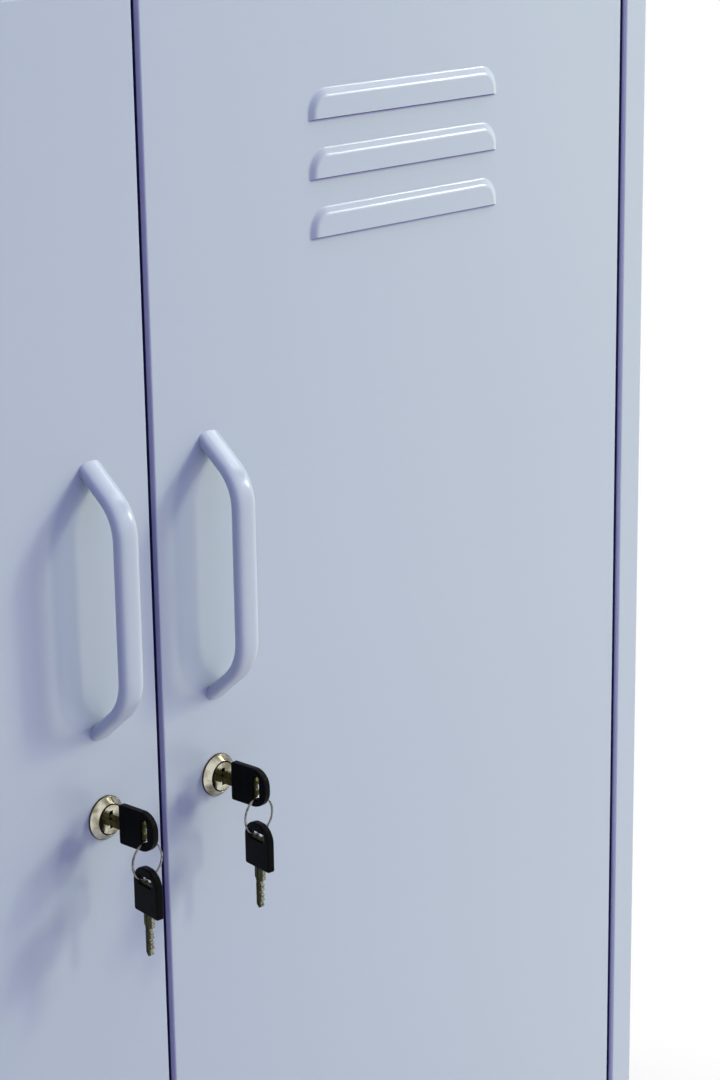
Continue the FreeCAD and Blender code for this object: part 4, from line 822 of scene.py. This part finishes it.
for side in SIDES:
    low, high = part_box(f"key_head_{side}")
    piece_from(f"key_grip_{side}", stood_in_lock(key_head(), side, (low.z + high.z) / 2),
               key_plastic, f"{side}_key", "key_plastic", f"key_head_{side}")
    piece_from(f"spare_grip_{side}", hung_on_ring(key_head(), side), key_plastic,
               f"{side}_spare_key", "key_plastic", f"spare_head_{side}")

BLADE_ROOT = 0.001
BLADE_SHOULDER = (0.0060, 0.0070)
BLADE_LENGTH = 0.0163
BLADE_WIDTH = 0.0050
BLADE_GAUGE = 0.0019
BLADE_RAMP = 0.0009
BLADE_EDGE = 0.0001
BLADE_CUTS = (0.0011, 0.0005, 0.0014, 0.0008, 0.0012)
# parts of the cuts' pitch: the first cut's place, each cut's slope and its flat
CUT_PLACE = 0.55
CUT_SLOPE = 0.25
CUT_FLAT = 0.3
TIP_SLANTS = (0.0012, 0.0016)
TIP_FLAT = 0.0008
NOTCH = (0.0018, 0.0024, 0.0030)
NOTCH_DEPTH = 0.0004
GROOVE = (0.0003, 0.0015)
GROOVE_DEPTH = 0.00045
GROOVE_RAMP = 0.00006
BOW_LOBES = ((0.0145, 0.0052), (0.0158, 0.0052), (0.0170, 0.0042), (0.0175, 0.0030),
             (0.0173, 0.0016), (0.0166, 0.0008))


def on_blade(face):
    """Whether a face belongs to the blade and not to the bow's lobes."""
    return face.calc_center_median().x < BLADE_ROOT


def key_blade():
    """The blade's outline with its cuts, pressed out and grooved, and the two lobes of its bow that
    show inside the head's slot. X runs from the tip to the head."""
    stop = BLADE_SHOULDER[0]
    shoulder = BLADE_SHOULDER[1] / 2
    edge = BLADE_WIDTH / 2
    tip = stop + BLADE_LENGTH
    corners = [(BLADE_ROOT, shoulder), (BLADE_ROOT, -shoulder), (-stop, -shoulder),
               (-stop - BLADE_RAMP, -edge)]
    pitch = BLADE_LENGTH / (len(BLADE_CUTS) + 1)
    for number, depth in enumerate(BLADE_CUTS):
        start = stop + (number + CUT_PLACE) * pitch
        corners += [(-start + CUT_SLOPE * pitch, -edge), (-start, -edge + depth),
                    (-start - CUT_FLAT * pitch, -edge + depth)]
    corners += [(-tip + TIP_SLANTS[0], -edge + TIP_FLAT), (-tip, 0), (-tip, TIP_FLAT),
                (-tip + TIP_SLANTS[1], edge), (-stop - NOTCH[2], edge),
                (-stop - NOTCH[1], edge - NOTCH_DEPTH), (-stop - NOTCH[0], edge),
                (-stop - BLADE_RAMP, edge), (-stop, shoulder)]
    lobes = [*BOW_LOBES, *((x, -z) for x, z in reversed(BOW_LOBES))]
    blade = bmesh.new()
    for outline in (corners, lobes):
        blade.faces.new([blade.verts.new((x, 0, z)) for x, z in outline])
    for level in GROOVE:
        sliced(blade, (0, 0, 1), (0, 0, level))
    pressed_out(blade, BLADE_GAUGE)
    for flank in (-1, 1):
        strip = [f for f in blade.faces if f.normal.y * flank > 0.9 and on_blade(f)
                 and GROOVE[0] < f.calc_center_median().z < GROOVE[1]]
        bmesh.ops.inset_region(blade, faces=strip, thickness=GROOVE_RAMP, depth=-GROOVE_DEPTH,
                               use_even_offset=True)
    rim = [e for e in blade.edges if e.calc_face_angle(0) > math.radians(40)
           and all(abs(abs(v.co.y) - BLADE_GAUGE / 2) < SAME for v in e.verts)]
    rounded(blade, rim, BLADE_EDGE, 2, clamp=True)
    blade.normal_update()
    for face in blade.faces:
        face.material_index = int(on_blade(face) and abs(face.normal.y) < 0.3)
    return blade


for side in SIDES:
    in_lock = stood_in_lock(key_blade(), side, lock_place(side).z)
    on_ring = hung_on_ring(key_blade(), side)
    for kind, body, blade in (("key", "key", in_lock), ("spare", "spare_key", on_ring)):
        shank = piece_from(f"{kind}_shank_{side}", blade, key_brass, f"{side}_{body}", "key_brass",
                           f"{kind}_blade_{side}")
        shank.data.materials.append(key_edge)

# ---------------------------------------------------------------- key rings
# Split rings coiled almost twice round from flattened spring wire, zinc plated. Both ends of the
# wire lie one above the other, at the upper right.

RING_RADIUS = 0.0096
RING_WIRE = (0.00048, 0.00028)
RING_PITCH = 0.00058
RING_TURNS = 1.93
RING_STEPS = 130
RING_END = {"left": math.radians(12), "right": math.radians(34)}

ring_steel, nodes, links, shader = grained_material(
    "ring_steel", (0.09, 0.09, 0.09, 1), (0.34, 0.34, 0.34, 1),
    (500, 2.0), (900, 2.0, 0.14, 0.26), metallic=1.0)

for side in SIDES:
    low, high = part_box(f"key_ring_{side}")
    wire = bmesh.new()
    bmesh.ops.create_circle(wire, cap_ends=False, segments=14, radius=1)
    bmesh.ops.scale(wire, vec=(*RING_WIRE, 1), verts=wire.verts)
    moved(wire, RING_RADIUS, -RING_PITCH * RING_TURNS / 2, 0)
    bmesh.ops.spin(wire, geom=whole(wire), cent=(0, 0, 0), axis=(0, 1, 0),
                   dvec=(0, RING_PITCH * RING_TURNS / RING_STEPS, 0),
                   angle=math.tau * RING_TURNS, steps=RING_STEPS, use_duplicate=False)
    bmesh.ops.holes_fill(wire, edges=[e for e in wire.edges if e.is_boundary])
    bmesh.ops.recalc_face_normals(wire, faces=wire.faces)
    turned(wire, -RING_END[side], "Y")
    moved(wire, *((low + high) / 2))
    piece_from(f"split_ring_{side}", wire, ring_steel, f"{side}_ring", "ring_steel",
               f"key_ring_{side}")

# ---------------------------------------------------------------- carcass
# Two folded side panels with the stiles beside the doors, a top and a bottom tray, a back sheet and
# a centre partition whose front flange is the strike. All 1 mm steel, spot welded, coated together.

CUT_EDGE = 0.00025
STILE_BEND = 0.002
BEND_NEARNESS = 0.0002
LEAST_UPRIGHT = 0.05
FACET_ANGLE = math.radians(0.5)
SHARP_ANGLE = math.radians(32)


def upright_at(edge, x, y):
    """Whether an edge stands upright at a place in plan."""
    first, second = (v.co for v in edge.verts)
    near = all(abs(co.x - x) < BEND_NEARNESS and abs(co.y - y) < BEND_NEARNESS
               for co in (first, second))
    return near and abs(first.z - second.z) > LEAST_UPRIGHT


def dressed(node, name, material, body, slot, edge=CUT_EDGE, steps=2, bend=None):
    """Takes the CAD piece's own shape, joins its facets into whole faces and rounds its edges, and
    the upright bend at a place in plan with the larger radius of a fold."""
    shape = bmesh.new()
    shape.from_mesh(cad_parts[node].data)
    bmesh.ops.remove_doubles(shape, verts=shape.verts, dist=CLOSE)
    bmesh.ops.dissolve_limit(shape, angle_limit=FACET_ANGLE, verts=shape.verts,
                             edges=shape.edges)
    if bend:
        rounded(shape, [e for e in shape.edges if upright_at(e, *bend)], STILE_BEND, 4, clamp=True)
    sharp = [e for e in shape.edges if e.is_manifold and e.calc_face_angle(0) > SHARP_ANGLE]
    rounded(shape, sharp, edge, steps, clamp=True)
    return piece_from(name, shape, material, body, slot, node, smooth=30)


for side, sign in SIDES.items():
    dressed(f"side_panel_{side}", f"side_sheet_{side}", powder_coat, "carcass", "powder_coat",
            bend=(sign * cad_high.x, face_y))
for node, name in (("top_panel", "top_sheet"), ("bottom_panel", "bottom_sheet"),
                   ("back_panel", "back_sheet"), ("centre_partition", "partition_sheet")):
    dressed(node, name, powder_coat, "carcass", "powder_coat")
for side in SIDES:
    dressed(f"shelf_{side}", f"shelf_pan_{side}", powder_coat, "carcass", "powder_coat")
    dressed(f"door_stiffener_{side}", f"stiffener_{side}", powder_coat, f"{side}_door",
            "powder_coat")

# ---------------------------------------------------------------- legs
# Square tube legs, each welded to a plate that is bolted up into the bottom tray, coated like the
# cabinet. A moulded black glide closes each tube.

moulded_black, nodes, links, shader = grained_material(
    "moulded_black", (0.022, 0.022, 0.025, 1), (0.034, 0.034, 0.037, 1),
    (260, 3.0), (500, 3.0, 0.45, 0.6))
bumped(nodes, links, shader, 0.3, 0.0001, 1500)

for corner in ("front_left", "front_right", "rear_left", "rear_right"):
    dressed(f"leg_{corner}", f"leg_tube_{corner}", powder_coat, "carcass", "powder_coat",
            edge=0.0006, steps=3)
    dressed(f"glide_{corner}", f"glide_foot_{corner}", moulded_black, "carcass", "glide_plastic",
            edge=0.0008, steps=3)

# ---------------------------------------------------------------- fittings
# Pressed and turned steel hardware, bright zinc plated: bolts, nuts, screws, pivot pins, shelf
# clips, cams and lock clips. The hinge bushes are nylon, the door buffers rubber.

TURNED_EDGE = 0.0003

zinc, nodes, links, shader = grained_material(
    "zinc_plate", (0.58, 0.60, 0.65, 1), (0.68, 0.68, 0.69, 1),
    (90, 4.0), (340, 3.0, 0.24, 0.44), metallic=1.0)
bumped(nodes, links, shader, 0.15, 0.0001, 700)

nylon, nodes, links, shader = grained_material(
    "nylon", (0.74, 0.73, 0.68, 1), (0.80, 0.79, 0.75, 1),
    (120, 3.0), (300, 2.0, 0.38, 0.5))
shader.inputs["Subsurface Weight"].default_value = 0.1
shader.inputs["Subsurface Radius"].default_value = (0.002, 0.002, 0.0015)

rubber, nodes, links, shader = grained_material(
    "rubber", (0.030, 0.030, 0.031, 1), (0.042, 0.042, 0.043, 1),
    (300, 3.0), (500, 3.0, 0.65, 0.8))

for node in ("shelf_clips", "leg_bolts", "leg_nuts", "back_screws", "pivot_pins"):
    dressed(node, f"{node}_set", zinc, "carcass", "zinc_steel", edge=TURNED_EDGE)
dressed("door_buffers", "door_buffers_set", rubber, "carcass", "buffer_rubber", edge=TURNED_EDGE)
for side in SIDES:
    for node in (f"handle_screws_{side}", f"lock_clip_{side}"):
        dressed(node, f"{node}_set", zinc, f"{side}_door", "zinc_steel")
    dressed(f"pivot_bushes_{side}", f"pivot_bushes_{side}_set", nylon, f"{side}_door", "nylon")
    for node in (f"lock_cam_{side}", f"cam_screw_{side}"):
        dressed(node, f"{node}_set", zinc, f"{side}_lock_plug", "zinc_steel")
